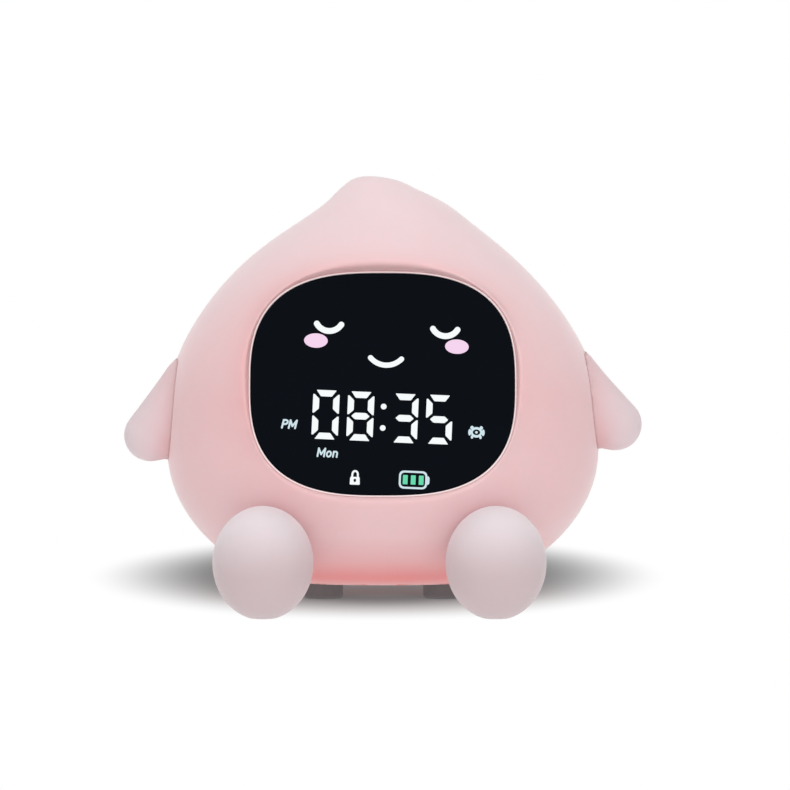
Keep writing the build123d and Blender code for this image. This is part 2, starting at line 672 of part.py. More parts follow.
def base_plate():
    """Hard plate that closes the core from below, with sound slots under the speaker."""
    plate = slab(Plane.XY, floor_outline(-PLATE_INSET - SOFT_FIT), PLATE_BOTTOM, PLATE_TOP)
    plate += slab(Plane.XY, floor_outline(-PLATE_INSET - PLATE_RIM - SOFT_FIT), PLATE_TOP, CAVITY_FLOOR)
    for step in range(SLOT_COUNT):
        offset = (step - (SLOT_COUNT - 1) / 2) * SLOT_PITCH
        reach = sqrt((SPEAKER_RADIUS - 2.0) ** 2 - offset * offset)
        slot = Pos(offset, BODY_Y) * SlotOverall(2 * reach, SLOT_WIDTH, rotation=90)
        plate -= slab(Plane.XY, slot, 0.0, CAVITY_FLOOR + 1.0)
    for spot in BUMPERS:
        plate -= rod(Plane.XY, spot, BUMPER_RADIUS + 0.1, 0.0, PLATE_BOTTOM + BUMPER_SEAT)
    for spot in PLATE_SCREWS:
        plate -= rod(Plane.XY, spot, SCREW_RADIUS + HOLE_FIT, 0.0, CAVITY_FLOOR)
        plate -= rod(Plane.XY, spot, WELL_RADIUS, 0.0, PLATE_BOTTOM + PLATE_SCREW_SINK)
    return plate.solid()


def rear_bumpers():
    pads = []
    for spot in BUMPERS:
        top = PLATE_BOTTOM + BUMPER_SEAT - SEAT_FIT
        pad = rod(Plane.XY, spot, BUMPER_RADIUS, 0.0, top)
        pads.append(fillet(pad.faces().sort_by(Axis.Z)[0].edges(), BUMPER_ROUND))
    return group(pads)


def screw(plane, spot, seat, length, direction):
    """A pan-head screw: seat is the level under its head, direction +1 drives along the normal."""
    tip = seat + direction * length
    top = seat - direction * SCREW_HEAD_HEIGHT
    shank = rod(plane, spot, SCREW_RADIUS, min(seat, tip), max(seat, tip))
    head = rod(plane, spot, SCREW_HEAD_RADIUS, min(seat, top), max(seat, top))
    socket = top + direction * SCREW_DRIVE_DEPTH
    drive = rod(plane, spot, SCREW_DRIVE_RADIUS, min(top, socket), max(top, socket))
    return shank + head - drive


# Display, from the front of the lens inwards

FILM_MARGIN = RIM_LEDGE + 0.3


def window_rim():
    """Pale rim that carries the lens, with a ledge for its tape."""
    rim = slab(FACE, lens_outline(RIM_WIDTH), FACE_SEAT + SEAT_FIT, RIM_PROUD)
    rim -= slab(FACE, lens_outline(LENS_FIT), TAPE_BACK, RIM_PROUD + 1.0)
    rim -= slab(FACE, lens_outline(-RIM_LEDGE), FACE_SEAT - 1.0, RIM_PROUD + 1.0)
    return rim.solid()


def display_lens():
    lens = slab(FACE, lens_outline(0.0), LENS_BACK, 0.0)
    front = [face for face in lens.faces() if (face.center() - FACE.origin).dot(FACE.z_dir) > -0.01]
    return chamfer(front[0].edges(), LENS_CHAMFER).solid()


def lens_tape():
    tape = slab(FACE, lens_outline(-0.2), TAPE_BACK, LENS_BACK)
    return (tape - slab(FACE, lens_outline(-RIM_LEDGE + 0.2), TAPE_BACK - 1.0, 0.0)).solid()


def mask_film():
    return slab(FACE, lens_outline(-FILM_MARGIN), FILM_BACK, FILM_BACK + FILM_THICKNESS).solid()


def segment(length):
    """Outline of one bar of a digit: a hexagon with mitred ends, lying across."""
    half, point = SEGMENT_WIDTH / 2, length / 2
    return make_face(Polyline(
        (-point, 0), (half - point, half), (point - half, half),
        (point, 0), (point - half, -half), (half - point, -half), close=True,
    ))


def digit_spots():
    """Place and turn of every bar of the four digits: x, y, degrees, length."""
    across = DIGIT_WIDTH - SEGMENT_WIDTH
    along = (DIGIT_HEIGHT - SEGMENT_WIDTH) / 2
    spots = []
    for side in (-1, 1):
        for order in (0, 1):
            middle = DIGIT_MIDDLE + side * (DIGIT_SPREAD + order * DIGIT_PITCH)
            for level in (-1, 0, 1):
                spots.append((middle, DIGIT_ROW + level * along, 0, across - 2 * SEGMENT_GAP))
            for left in (-1, 1):
                for level in (-0.5, 0.5):
                    spot = (middle + left * across / 2, DIGIT_ROW + level * along)
                    spots.append((*spot, 90, along - 2 * SEGMENT_GAP))
    return spots


COLON_SPOTS = [(DIGIT_MIDDLE, DIGIT_ROW + side * COLON_HALF_PITCH) for side in (1, -1)]


def grid_wells():
    """Outlines of the light wells: digit bars, colon, sleepy face and small windows."""
    wells = [Pos(x, y) * Rot(0, 0, turn) * segment(length) for x, y, turn, length in digit_spots()]
    wells += [Pos(*spot) * Circle(COLON_RADIUS) for spot in COLON_SPOTS]
    wells += [Pos(*spot) * Ellipse(CHEEK_HALF_WIDTH, CHEEK_HALF_HEIGHT) for spot in CHEEK_SPOTS]
    for x, y, radius, sweep in SMILE_MARKS:
        wells.append(Pos(x, y) * SlotArc(CenterArc((0, 0), radius, 270 - sweep / 2, sweep), SMILE_WIDTH))
    wells += [Pos(x, y) * RectangleRounded(width, height, ICON_ROUND) for x, y, width, height in ICON_SPOTS]
    return wells


def led_spots():
    spots = [(x, y, turn) for x, y, turn, length in digit_spots()]
    spots += [(x, y, 90) for x, y in COLON_SPOTS]
    spots += [(x, y, 0) for x, y in CHEEK_SPOTS]
    spots += [(x, y - radius, 0) for x, y, radius, sweep in SMILE_MARKS]
    spots += [(x, y, 0) for x, y, width, height in ICON_SPOTS]
    return spots


def eared_plate(low, high, ear_high):
    """The window's outline with four screw ears, one at the middle of each side."""
    plate = slab(FACE, lens_outline(-GRID_MARGIN), low, high)
    for across, along in EARS:
        reach = 1.0 - EAR_REACH / 2 / max(abs(across), abs(along))
        size = (EAR_REACH, 2 * EAR_RADIUS) if across else (2 * EAR_RADIUS, EAR_REACH)
        plate += block(FACE, (across * reach, along * reach), *size, low, ear_high)
        plate += rod(FACE, (across, along), EAR_RADIUS, low, ear_high)
    for spot in EARS:
        plate -= rod(FACE, spot, SCREW_RADIUS + HOLE_FIT, low - 1.0, high + 1.0)
    return plate


def light_grid():
    """White moulded block with one well for each lit mark, so that no light strays to its neighbour."""
    grid = eared_plate(GRID_BACK, GRID_FRONT, EAR_FRONT)
    for well in grid_wells():
        grid -= slab(MARKS, well, GRID_BACK - 1.0, GRID_FRONT + 1.0)
    return grid.solid()


def display_board():
    return eared_plate(BOARD_BACK, BOARD_BACK + BOARD_THICKNESS, BOARD_BACK + BOARD_THICKNESS).solid()


def display_leds():
    level = BOARD_BACK + BOARD_THICKNESS
    return group([
        slab(MARKS, Pos(x, y) * Rot(0, 0, turn) * Rectangle(LED_LENGTH, LED_WIDTH), level, level + LED_HEIGHT)
        for x, y, turn in led_spots()
    ])


def display_screws():
    length = FACE_SEAT - SCREW_BITE - BOARD_BACK
    return group([screw(FACE, spot, BOARD_BACK, length, 1) for spot in EARS])


# Back panel, measured outwards from the panel's face; its left is the body's right

CONTROL_FRONT = -BOARD_DROP
CONTROL_BACK = CONTROL_FRONT - BOARD_THICKNESS
KEY_SPOTS = [((step - 2) * KEY_PITCH, KEY_ROW) for step in range(len(KEY_NAMES))]
PORT_SPOT = (PORT_OFFSET, PORT_ROW)
SWITCH_SPOT = (-PORT_OFFSET, PORT_ROW)
TACT_TOP = CONTROL_FRONT + TACT_HEIGHT
SWITCH_TOP = CONTROL_FRONT + SWITCH_BODY_DEPTH
KEY_FLANGE_TOP = -PANEL_THICKNESS - KEY_REST_GAP


def panel_clips():
    """Snap hooks that follow the opening's edge and catch behind the core's ledge."""
    reach = panel_outline(-PANEL_LEDGE - SLIDE_FIT)
    inside = panel_outline(-PANEL_LEDGE - SLIDE_FIT - CLIP_THICKNESS)
    catch = panel_outline(-PANEL_LEDGE + CLIP_CATCH)
    strips = Pos(-CLIP_X, 0) * Rectangle(CLIP_WIDTH, 60) + Pos(CLIP_X, 0) * Rectangle(CLIP_WIDTH, 60)
    catch_top = PANEL_SEAT - WINDOW_WALL - CLIP_GAP
    catch_low = catch_top - CLIP_THICKNESS
    hooks = slab(PANEL, (reach - inside) & strips, catch_low, PANEL_SEAT + PANEL_THICKNESS / 2)
    return hooks + slab(PANEL, (catch - inside) & strips, catch_low, catch_top)


def port_outline(margin):
    """The sunk pocket round the charging port."""
    return Pos(*PORT_SPOT) * RectangleRounded(
        PORT_POCKET_WIDTH + 2 * margin, PORT_POCKET_HEIGHT + 2 * margin, PORT_POCKET_ROUND + margin)


def usb_outline(margin):
    """Rounded outline of the charging socket."""
    return Pos(*PORT_SPOT) * RectangleRounded(
        USB_WIDTH + 2 * margin, USB_HEIGHT + 2 * margin, USB_ROUND + margin)


def control_panel():
    """Back panel with key holes, the switch slot, a sunk port pocket, board posts and snap hooks."""
    panel = slab(PANEL, panel_outline(0.0), PANEL_SEAT + SEAT_FIT, 0.0) + panel_clips()
    panel += slab(PANEL, port_outline(POCKET_WALL), -PORT_POCKET_DEPTH - POCKET_FLOOR, -PANEL_THICKNESS / 2)
    for spot in PANEL_POSTS:
        panel += rod(PANEL, spot, POST_RADIUS, CONTROL_FRONT, -PANEL_THICKNESS / 2)
        panel -= rod(PANEL, spot, SCREW_RADIUS + HOLE_FIT, CONTROL_FRONT, CONTROL_FRONT + PANEL_PILOT)
    panel -= slab(PANEL, port_outline(0.0), -PORT_POCKET_DEPTH, 1.0)
    panel -= slab(PANEL, usb_outline(USB_FIT), -PORT_POCKET_DEPTH - 2 * POCKET_FLOOR, 1.0)
    for spot in KEY_SPOTS:
        panel -= rod(PANEL, spot, KEY_RADIUS + SLIDE_FIT, -PANEL_THICKNESS - 1.0, 1.0)
    slot = (KNOB_WIDTH + SWITCH_TRAVEL + 2 * SLIDE_FIT, KNOB_HEIGHT + 2 * SLIDE_FIT)
    middle = (SWITCH_SPOT[0] + SWITCH_TRAVEL / 2, SWITCH_SPOT[1])
    panel -= block(PANEL, middle, *slot, -PANEL_THICKNESS - 1.0, 1.0)
    return panel.solid()


def push_key(spot):
    """Round key with a dished top, a flange that keeps it in the panel and a stem over its switch."""
    flange_low = KEY_FLANGE_TOP - KEY_FLANGE_THICKNESS
    cap = rod(PANEL, spot, KEY_RADIUS, flange_low, KEY_PROUD)
    cap = fillet(cap.faces().sort_by(Axis.Y)[-1].edges(), KEY_ROUND)
    cap += rod(PANEL, spot, KEY_RADIUS + KEY_FLANGE, flange_low, KEY_FLANGE_TOP)
    cap += rod(PANEL, spot, KEY_STEM_RADIUS, TACT_TOP + KEY_REST_GAP + KEY_TRAVEL, KEY_FLANGE_TOP)
    dish = PANEL.location * Pos(*spot, KEY_PROUD + KEY_DISH_RADIUS - KEY_DISH_DEPTH) * Sphere(KEY_DISH_RADIUS)
    return (cap - dish).solid()


def switch_knob():
    """Ribbed slide with a plate that hides the slot and a lever in the power switch."""
    plate_low = KEY_FLANGE_TOP - KNOB_PLATE_THICKNESS
    knob = block(PANEL, SWITCH_SPOT, KNOB_WIDTH, KNOB_HEIGHT, plate_low, KNOB_PROUD)
    for step in (-1, 0, 1):
        groove = (SWITCH_SPOT[0] + step * KNOB_GROOVE_PITCH, SWITCH_SPOT[1])
        knob -= block(PANEL, groove, KNOB_GROOVE, KNOB_HEIGHT + 1.0,
                      KNOB_PROUD - KNOB_GROOVE, KNOB_PROUD + 1.0)
    plate = (KNOB_WIDTH + 2 * SWITCH_TRAVEL, KNOB_HEIGHT + 2 * KNOB_PLATE_EDGE)
    knob += block(PANEL, SWITCH_SPOT, *plate, plate_low, KEY_FLANGE_TOP)
    lever_low = SWITCH_TOP - LEVER_DEPTH + SLIDE_FIT
    return (knob + block(PANEL, SWITCH_SPOT, LEVER_SIZE, LEVER_SIZE, lever_low, plate_low)).solid()


def power_switch():
    body = block(PANEL, SWITCH_SPOT, SWITCH_BODY_WIDTH, SWITCH_BODY_HEIGHT, CONTROL_FRONT, SWITCH_TOP)
    middle = (SWITCH_SPOT[0] + SWITCH_TRAVEL / 2, SWITCH_SPOT[1])
    slot = (LEVER_SIZE + SWITCH_TRAVEL + 2 * SLIDE_FIT, LEVER_SIZE + 2 * SLIDE_FIT)
    return (body - block(PANEL, middle, *slot, SWITCH_TOP - LEVER_DEPTH, SWITCH_TOP + 1.0)).solid()


def control_board():
    board = slab(PANEL, panel_outline(-PANEL_LEDGE - 0.6), CONTROL_BACK, CONTROL_FRONT)
    for spot in PANEL_POSTS:
        board -= rod(PANEL, spot, SCREW_RADIUS + HOLE_FIT, CONTROL_BACK - 1.0, CONTROL_FRONT + 1.0)
    return board.solid()


def tact_switches():
    switches = []
    for spot in KEY_SPOTS:
        body_top = TACT_TOP - TACT_BUTTON_HEIGHT
        body = block(PANEL, spot, TACT_SIZE, TACT_SIZE, CONTROL_FRONT, body_top)
        switches.append(body + rod(PANEL, spot, TACT_BUTTON_RADIUS, body_top, TACT_TOP))
    return group(switches)


def usb_socket():
    """Upright charging socket: rolled shell with its tongue."""
    mouth = -PORT_POCKET_DEPTH
    shell = slab(PANEL, usb_outline(0.0), CONTROL_FRONT, mouth)
    shell -= slab(PANEL, usb_outline(-USB_METAL), CONTROL_FRONT + POCKET_FLOOR, mouth + 1.0)
    tongue = (USB_TONGUE_WIDTH, USB_TONGUE_THICKNESS)
    return (shell + block(PANEL, PORT_SPOT, *tongue, CONTROL_FRONT, mouth - USB_TONGUE_THICKNESS)).solid()


def panel_screws():
    return group([screw(PANEL, spot, CONTROL_BACK, PANEL_SCREW_LENGTH, 1) for spot in PANEL_POSTS])


# Speaker, facing down through the slots

SPEAKER_Z = CAVITY_FLOOR + SEAL_THICKNESS


def turned(*points):
    """Revolve a closed outline of radius and height about the speaker's upright axis."""
    return Pos(0, BODY_Y) * revolve(Plane.XZ * make_face(Polyline(*points, close=True)), Axis.Z)


def speaker_seal():
    seal = rod(Plane.XY, SPEAKER_SPOT, SPEAKER_RADIUS, CAVITY_FLOOR, SPEAKER_Z)
    return (seal - rod(Plane.XY, SPEAKER_SPOT, SPEAKER_RADIUS - SEAL_WIDTH, 0.0, CHASSIS_Z)).solid()


def speaker_frame():
    """Pressed basket: flat rim, sloping wall and the seat of the magnet."""
    rim, rim_top, top = SPEAKER_RADIUS, SPEAKER_Z + SPEAKER_RIM_HEIGHT, SPEAKER_Z + SPEAKER_HEIGHT
    return turned(
        (rim, SPEAKER_Z), (rim, rim_top), (rim - SPEAKER_RIM, rim_top), (SPEAKER_THROAT, top),
        (MAGNET_BORE, top), (MAGNET_BORE, top - SPEAKER_METAL),
        (SPEAKER_THROAT - SPEAKER_METAL / 2, top - SPEAKER_METAL),
        (rim - SPEAKER_RIM - SPEAKER_METAL / 2, SPEAKER_Z),
    ).solid()


def speaker_magnet():
    low = SPEAKER_Z + SPEAKER_HEIGHT
    return rod(Plane.XY, SPEAKER_SPOT, MAGNET_RADIUS, low, low + MAGNET_HEIGHT).solid()


def speaker_cone():
    """Paper cone under the basket, with the cap over the coil."""
    rim, low = SPEAKER_RADIUS - 2 * SPEAKER_RIM, SPEAKER_Z + SEAT_FIT
    top = SPEAKER_Z + SPEAKER_HEIGHT - SPEAKER_METAL - CONE_PAPER
    return turned(
        (rim, low), (rim, low + CONE_PAPER), (CONE_CAP_RADIUS, top - CONE_PAPER / 2), (0.0, top),
        (0.0, top - CONE_PAPER), (CONE_CAP_RADIUS, top - 3 * CONE_PAPER / 2),
    ).solid()


# Inner frame, battery and boards

CHASSIS_TOP = CHASSIS_Z + CHASSIS_THICKNESS
MAIN_BOARD_Z = CHASSIS_TOP + STANDOFF
MAIN_BOARD_TOP = MAIN_BOARD_Z + BOARD_THICKNESS
SOCKET_SPOTS = [(step * SOCKET_PITCH, MAIN_BOARD_Y + SOCKET_ROW) for step in (-2, -1, 0, 1, 2)]
BOARD_SCREW_X = MAIN_BOARD_WIDTH / 2 - BOARD_SCREW_INSET
BOARD_SCREW_Y = MAIN_BOARD_DEPTH / 2 - BOARD_SCREW_INSET
BOARD_SPOTS = [(x * BOARD_SCREW_X, MAIN_BOARD_Y + y * BOARD_SCREW_Y) for x in (-1, 1) for y in (-1, 1)]
CHASSIS_SPOTS = [(side * CHASSIS_SCREW_X, depth) for side in (-1, 1)
                 for depth in (CHASSIS_SCREW_FRONT, CHASSIS_SCREW_REAR)]
TOWER_SPOTS = [(side * TOWER_FOOT_X, TOWER_FOOT_Y) for side in (-1, 1)]


def chassis():
    """Shelf across the core that follows its wall, cut clear of the display."""
    shelf = slab(Plane.XY, Rectangle(300, 300), CHASSIS_Z, CHASSIS_TOP)
    shelf &= body_form(CAVITY_INSET + CHASSIS_GAP)
    shelf -= slab(FACE, lens_outline(DISPLAY_CLEARANCE), BOARD_BACK - 4.0, FAR_OUT)
    shelf -= slab(PANEL, panel_outline(DISPLAY_CLEARANCE), PANEL_SEAT - WINDOW_WALL - CHASSIS_GAP, FAR_OUT)
    for stud in FOOT_STUDS:
        shelf -= rod(stud, (0, 0), STUD_PAD_RADIUS + CHASSIS_GAP,
                     0.0, STUD_SEAT + STUD_HEAD_HEIGHT + CHASSIS_GAP)
    for spot in BOARD_SPOTS:
        shelf += rod(Plane.XY, spot, BOSS_RADIUS, CHASSIS_TOP, MAIN_BOARD_Z)
        shelf -= rod(Plane.XY, spot, SCREW_RADIUS + HOLE_FIT, CHASSIS_Z - 1.0, MAIN_BOARD_Z)
    for spot in CHASSIS_SPOTS + TOWER_SPOTS:
        shelf -= rod(Plane.XY, spot, SCREW_RADIUS + HOLE_FIT, CHASSIS_Z - 1.0, CHASSIS_TOP + 1.0)
    lead_hole = (SOCKET_SPOTS[3][0], SPEAKER_LEAD_Y)
    return (shelf - rod(Plane.XY, lead_hole, LEAD_HOLE_RADIUS, CHASSIS_Z - 1.0, CHASSIS_TOP + 1.0)).solid()


def chassis_screws():
    return group([screw(Plane.XY, spot, CHASSIS_TOP, CHASSIS_SCREW_LENGTH, -1) for spot in CHASSIS_SPOTS])


CELL_Z = CHASSIS_TOP + FOAM_THICKNESS
CELL_TOP = CELL_Z + CELL_HEIGHT


def battery_foam():
    size = (CELL_WIDTH - FOAM_EDGE, CELL_DEPTH - FOAM_EDGE)
    return block(Plane.XY, (0, CELL_Y), *size, CHASSIS_TOP, CELL_Z).solid()


def battery_cell():
    """Flat pouch cell with soft long edges."""
    cell = block(Plane.XY, (0, CELL_Y), CELL_WIDTH, CELL_DEPTH, CELL_Z, CELL_TOP)
    return fillet(cell.edges().filter_by(Axis.X), CELL_ROUND).solid()


def battery_strap():
    """Band over the cell with a foot on the shelf at each end."""
    top = CELL_TOP + SOFT_FIT
    half_span = CELL_WIDTH / 2 + SOFT_FIT
    strap = block(Plane.XY, (0, CELL_Y), 2 * (half_span + STRAP_THICKNESS), STRAP_WIDTH,
                  CHASSIS_TOP, top + STRAP_THICKNESS)
    strap -= block(Plane.XY, (0, CELL_Y), 2 * half_span, STRAP_WIDTH + 1.0, CHASSIS_TOP - 1.0, top)
    for side in (-1, 1):
        strap += block(Plane.XY, (side * (half_span + STRAP_FOOT / 2), CELL_Y), STRAP_FOOT, STRAP_WIDTH,
                       CHASSIS_TOP, CHASSIS_TOP + STRAP_THICKNESS)
    return strap.solid()


def main_board():
    outline = Pos(0, MAIN_BOARD_Y) * RectangleRounded(MAIN_BOARD_WIDTH, MAIN_BOARD_DEPTH, MAIN_BOARD_ROUND)
    board = slab(Plane.XY, outline, MAIN_BOARD_Z, MAIN_BOARD_TOP)
    for spot in BOARD_SPOTS:
        board -= rod(Plane.XY, spot, SCREW_RADIUS + HOLE_FIT, MAIN_BOARD_Z - 1.0, MAIN_BOARD_TOP + 1.0)
    return board.solid()


def board_parts():
    """Chips, coil and the row of lead sockets."""
    sockets = [(x, y, SOCKET_WIDTH, SOCKET_DEPTH, SOCKET_HEIGHT) for x, y in SOCKET_SPOTS]
    chips = [(x, MAIN_BOARD_Y + y, width, depth, height) for x, y, width, depth, height in CHIPS]
    low = MAIN_BOARD_TOP
    return group([block(Plane.XY, (x, y), width, depth, low, low + height)
                  for x, y, width, depth, height in chips + sockets])


def board_screws():
    return group([screw(Plane.XY, spot, MAIN_BOARD_TOP, BOARD_SCREW_LENGTH, -1) for spot in BOARD_SPOTS])


# Night light and touch sensor

LIGHT_SPOT = (0.0, LIGHT_Y)
LIGHT_BOARD_TOP = TOWER_TOP + BOARD_THICKNESS
LIGHT_SCREWS = [(side * LIGHT_SCREW_X, LIGHT_Y) for side in (-1, 1)]
LIGHT_LEAD_SPOT = (SOCKET_SPOTS[1][0], LIGHT_LEAD_Y)


def light_tower():
    """Two columns with ribs, carrying the round table of the night light."""
    table = rod(Plane.XY, LIGHT_SPOT, TABLE_RADIUS, TOWER_TOP - TABLE_THICKNESS, TOWER_TOP)
    for spot in TOWER_SPOTS:
        table += rod(Plane.XY, spot, COLUMN_RADIUS, CHASSIS_TOP, TOWER_TOP)
        table += rod(Plane.XY, spot, COLUMN_FOOT_RADIUS, CHASSIS_TOP, CHASSIS_TOP + COLUMN_FOOT_HEIGHT)
    beams = [(level, level + BEAM_HEIGHT) for level in BEAM_LEVELS]
    for low, high in beams + [(TOWER_TOP - TOP_BEAM_HEIGHT, TOWER_TOP)]:
        table += block(Plane.XY, (0, TOWER_FOOT_Y), 2 * TOWER_FOOT_X, BEAM_THICKNESS, low, high)
    for spot in TOWER_SPOTS:
        table -= rod(Plane.XY, spot, SCREW_RADIUS + HOLE_FIT,
                     CHASSIS_TOP - 1.0, CHASSIS_TOP + CHASSIS_SCREW_LENGTH)
    for spot in LIGHT_SCREWS:
        table -= rod(Plane.XY, spot, SCREW_RADIUS + HOLE_FIT, TOWER_TOP - LIGHT_SCREW_LENGTH, TOWER_TOP + 1.0)
    table -= rod(Plane.XY, LIGHT_LEAD_SPOT, LEAD_HOLE_RADIUS,
                 TOWER_TOP - TABLE_THICKNESS - 1.0, TOWER_TOP + 1.0)
    return table.solid()


def tower_screws():
    feet = [screw(Plane.XY, spot, CHASSIS_Z, CHASSIS_SCREW_LENGTH, 1) for spot in TOWER_SPOTS]
    board = [screw(Plane.XY, spot, LIGHT_BOARD_TOP, LIGHT_SCREW_LENGTH, -1) for spot in LIGHT_SCREWS]
    return group(feet + board)


def night_light_board():
    board = rod(Plane.XY, LIGHT_SPOT, TABLE_RADIUS - LIGHT_BOARD_EDGE, TOWER_TOP, LIGHT_BOARD_TOP)
    for spot in LIGHT_SCREWS:
        board -= rod(Plane.XY, spot, SCREW_RADIUS + HOLE_FIT, TOWER_TOP - 1.0, LIGHT_BOARD_TOP + 1.0)
    return board.solid()


def night_light_leds():
    leds = []
    width, depth, height = LIGHT_CHIP
    for step in range(LIGHT_COUNT):
        turn = 360.0 * (step + 0.5) / LIGHT_COUNT
        spot = Pos(0, LIGHT_Y) * Rot(0, 0, turn) * Pos(LIGHT_RING, 0)
        leds.append(slab(Plane.XY, spot * Rectangle(width, depth), LIGHT_BOARD_TOP, LIGHT_BOARD_TOP + height))
    return group(leds)


def light_diffuser():
    """Frosted dome over the lamps, open in the middle for the touch spring."""
    outer, wall = TABLE_RADIUS - DIFFUSER_EDGE, DIFFUSER_WALL
    dome = scale(Sphere(1.0), by=(outer, outer, DIFFUSER_HEIGHT))
    dome -= scale(Sphere(1.0), by=(outer - wall, outer - wall, DIFFUSER_HEIGHT - wall))
    dome = Pos(0, LIGHT_Y, LIGHT_BOARD_TOP) * dome
    dome -= Pos(0, LIGHT_Y, LIGHT_BOARD_TOP - 25.0) * Box(80, 80, 50)
    return (dome - rod(Plane.XY, LIGHT_SPOT, SPRING_RADIUS + 1.6, 0.0, 150.0)).solid()


def touch_spring():
    """Contact spring from the night light board up to the touch pad."""
    low = LIGHT_BOARD_TOP + SPRING_WIRE / 2
    high = TOUCH_Z - SEAT_FIT - SPRING_WIRE / 2
    path = Pos(0, LIGHT_Y, low) * Helix((high - low) / SPRING_TURNS, high - low, SPRING_RADIUS)
    section = Plane(origin=path @ 0, z_dir=path % 0) * RegularPolygon(SPRING_WIRE / 2, 6)
    return sweep(section, path=path).solid()


def touch_pad():
    return rod(Plane.XY, LIGHT_SPOT, TOUCH_RADIUS, TOUCH_Z, TOUCH_Z + TOUCH_THICKNESS).solid()


# Inner leads: each keeps its place across the clock and is drawn as its route in Y and Z

PLUG_LOW = MAIN_BOARD_TOP + SOCKET_HEIGHT + SEAT_FIT
DISPLAY_BACK = FACE.offset(BOARD_BACK - SEAT_FIT)


def lead(across, width, thickness, *route):
    """A flat lead along its route, with an even bend at each corner."""
    side = Plane(origin=(across, 0, 0), x_dir=(0, 1, 0), z_dir=(1, 0, 0))
    strip = side * trace(FilletPolyline(*route, radius=LEAD_BEND), thickness)
    return extrude(strip, amount=width / 2, dir=(1, 0, 0), both=True)


def socket_plug(spot):
    """Plug on a socket of the main board."""
    return block(Plane.XY, spot, PLUG_WIDTH, PLUG_DEPTH, PLUG_LOW, PLUG_LOW + PLUG_HEIGHT)


def to_socket(spot):
    """The last two corners of a route that ends in a socket's plug."""
    return (spot[1], LEAD_Z), (spot[1], PLUG_LOW + PLUG_HEIGHT / 2)


def display_ribbon():
    """Flat ribbon from the back of the display's board to the main board."""
    spot = SOCKET_SPOTS[2]
    along = (DISPLAY_PLUG_Z - DISPLAY_BACK.origin.Z) / DISPLAY_BACK.y_dir.Z
    start = DISPLAY_BACK.from_local_coords((0, along, -PLUG_HEIGHT / 2))
    turn = DISPLAY_BACK.from_local_coords((0, along, -2 * PLUG_HEIGHT))
    ribbon = lead(spot[0], RIBBON_WIDTH, RIBBON_THICKNESS,
                  (start.Y, start.Z), (turn.Y, turn.Z), (turn.Y + PLUG_HEIGHT, LEAD_Z), *to_socket(spot))
    ribbon += block(DISPLAY_BACK, (0, along), PLUG_WIDTH, PLUG_DEPTH, -PLUG_HEIGHT, 0.0)
    return (ribbon + socket_plug(spot)).solid()


def control_ribbon():
    """Flat ribbon from the control board to the main board."""
    spot = SOCKET_SPOTS[0]
    board_y = PANEL_Y + CONTROL_BACK - SEAT_FIT
    ribbon = lead(spot[0], RIBBON_WIDTH, RIBBON_THICKNESS,
                  (board_y - PLUG_HEIGHT / 2, CONTROL_PLUG_Z), (spot[1], CONTROL_PLUG_Z), to_socket(spot)[1])
    plug = block(PANEL, (-spot[0], CONTROL_PLUG_Z - PANEL_Z), PLUG_WIDTH, PLUG_DEPTH,
                 CONTROL_BACK - SEAT_FIT - PLUG_HEIGHT, CONTROL_BACK - SEAT_FIT)
    return (ribbon + plug + socket_plug(spot)).solid()


def speaker_lead():
    """Two wires from the basket's rim, up through the shelf to the main board."""
    spot = SOCKET_SPOTS[3]
    rim_y = SPEAKER_SPOT[1] + sqrt(SPEAKER_RADIUS ** 2 - spot[0] ** 2)
    rim_z = SPEAKER_Z + SPEAKER_RIM_HEIGHT + SEAT_FIT
    turn_z = (rim_z + CHASSIS_Z) / 2
    wires = lead(spot[0], WIRE_WIDTH, WIRE_THICKNESS, (rim_y, rim_z), (rim_y, turn_z),
                 (SPEAKER_LEAD_Y, turn_z), (SPEAKER_LEAD_Y, LEAD_Z), *to_socket(spot))
    return (wires + socket_plug(spot)).solid()


def battery_lead():
    """Two wires from the end of the cell to the main board."""
    spot = SOCKET_SPOTS[4]
    cell_end = CELL_Y + CELL_DEPTH / 2 + SEAT_FIT
    cell_z = CELL_Z + CELL_HEIGHT / 2
    rise_y = (cell_end + spot[1] - SOCKET_DEPTH) / 2
    wires = lead(BATTERY_LEAD_X, WIRE_WIDTH, WIRE_THICKNESS, (cell_end, cell_z), (rise_y, cell_z),
                 (rise_y, LEAD_Z), *to_socket(spot))
    return (wires + socket_plug(spot)).solid()


def light_lead():
    """Two wires from under the night light's board, down behind the display to the main board."""
    spot = SOCKET_SPOTS[1]
    across, depth = LIGHT_LEAD_SPOT
    wires = lead(across, WIRE_WIDTH, WIRE_THICKNESS,
                 (depth, TOWER_TOP - SEAT_FIT), (depth, LEAD_Z), *to_socket(spot))
    return (wires + socket_plug(spot)).solid()


def shell_screws():
    return group([screw(SPLIT, (-x, z), SHELL_CLAMP, SHELL_CLAMP + SHELL_PILOT - 2.0, -1)
                  for x, z in SHELL_SCREWS])


def base_screws():
    seat = PLATE_BOTTOM + PLATE_SCREW_SINK
    return group([screw(Plane.XY, spot, seat, PLATE_SCREW_LENGTH, 1) for spot in PLATE_SCREWS])


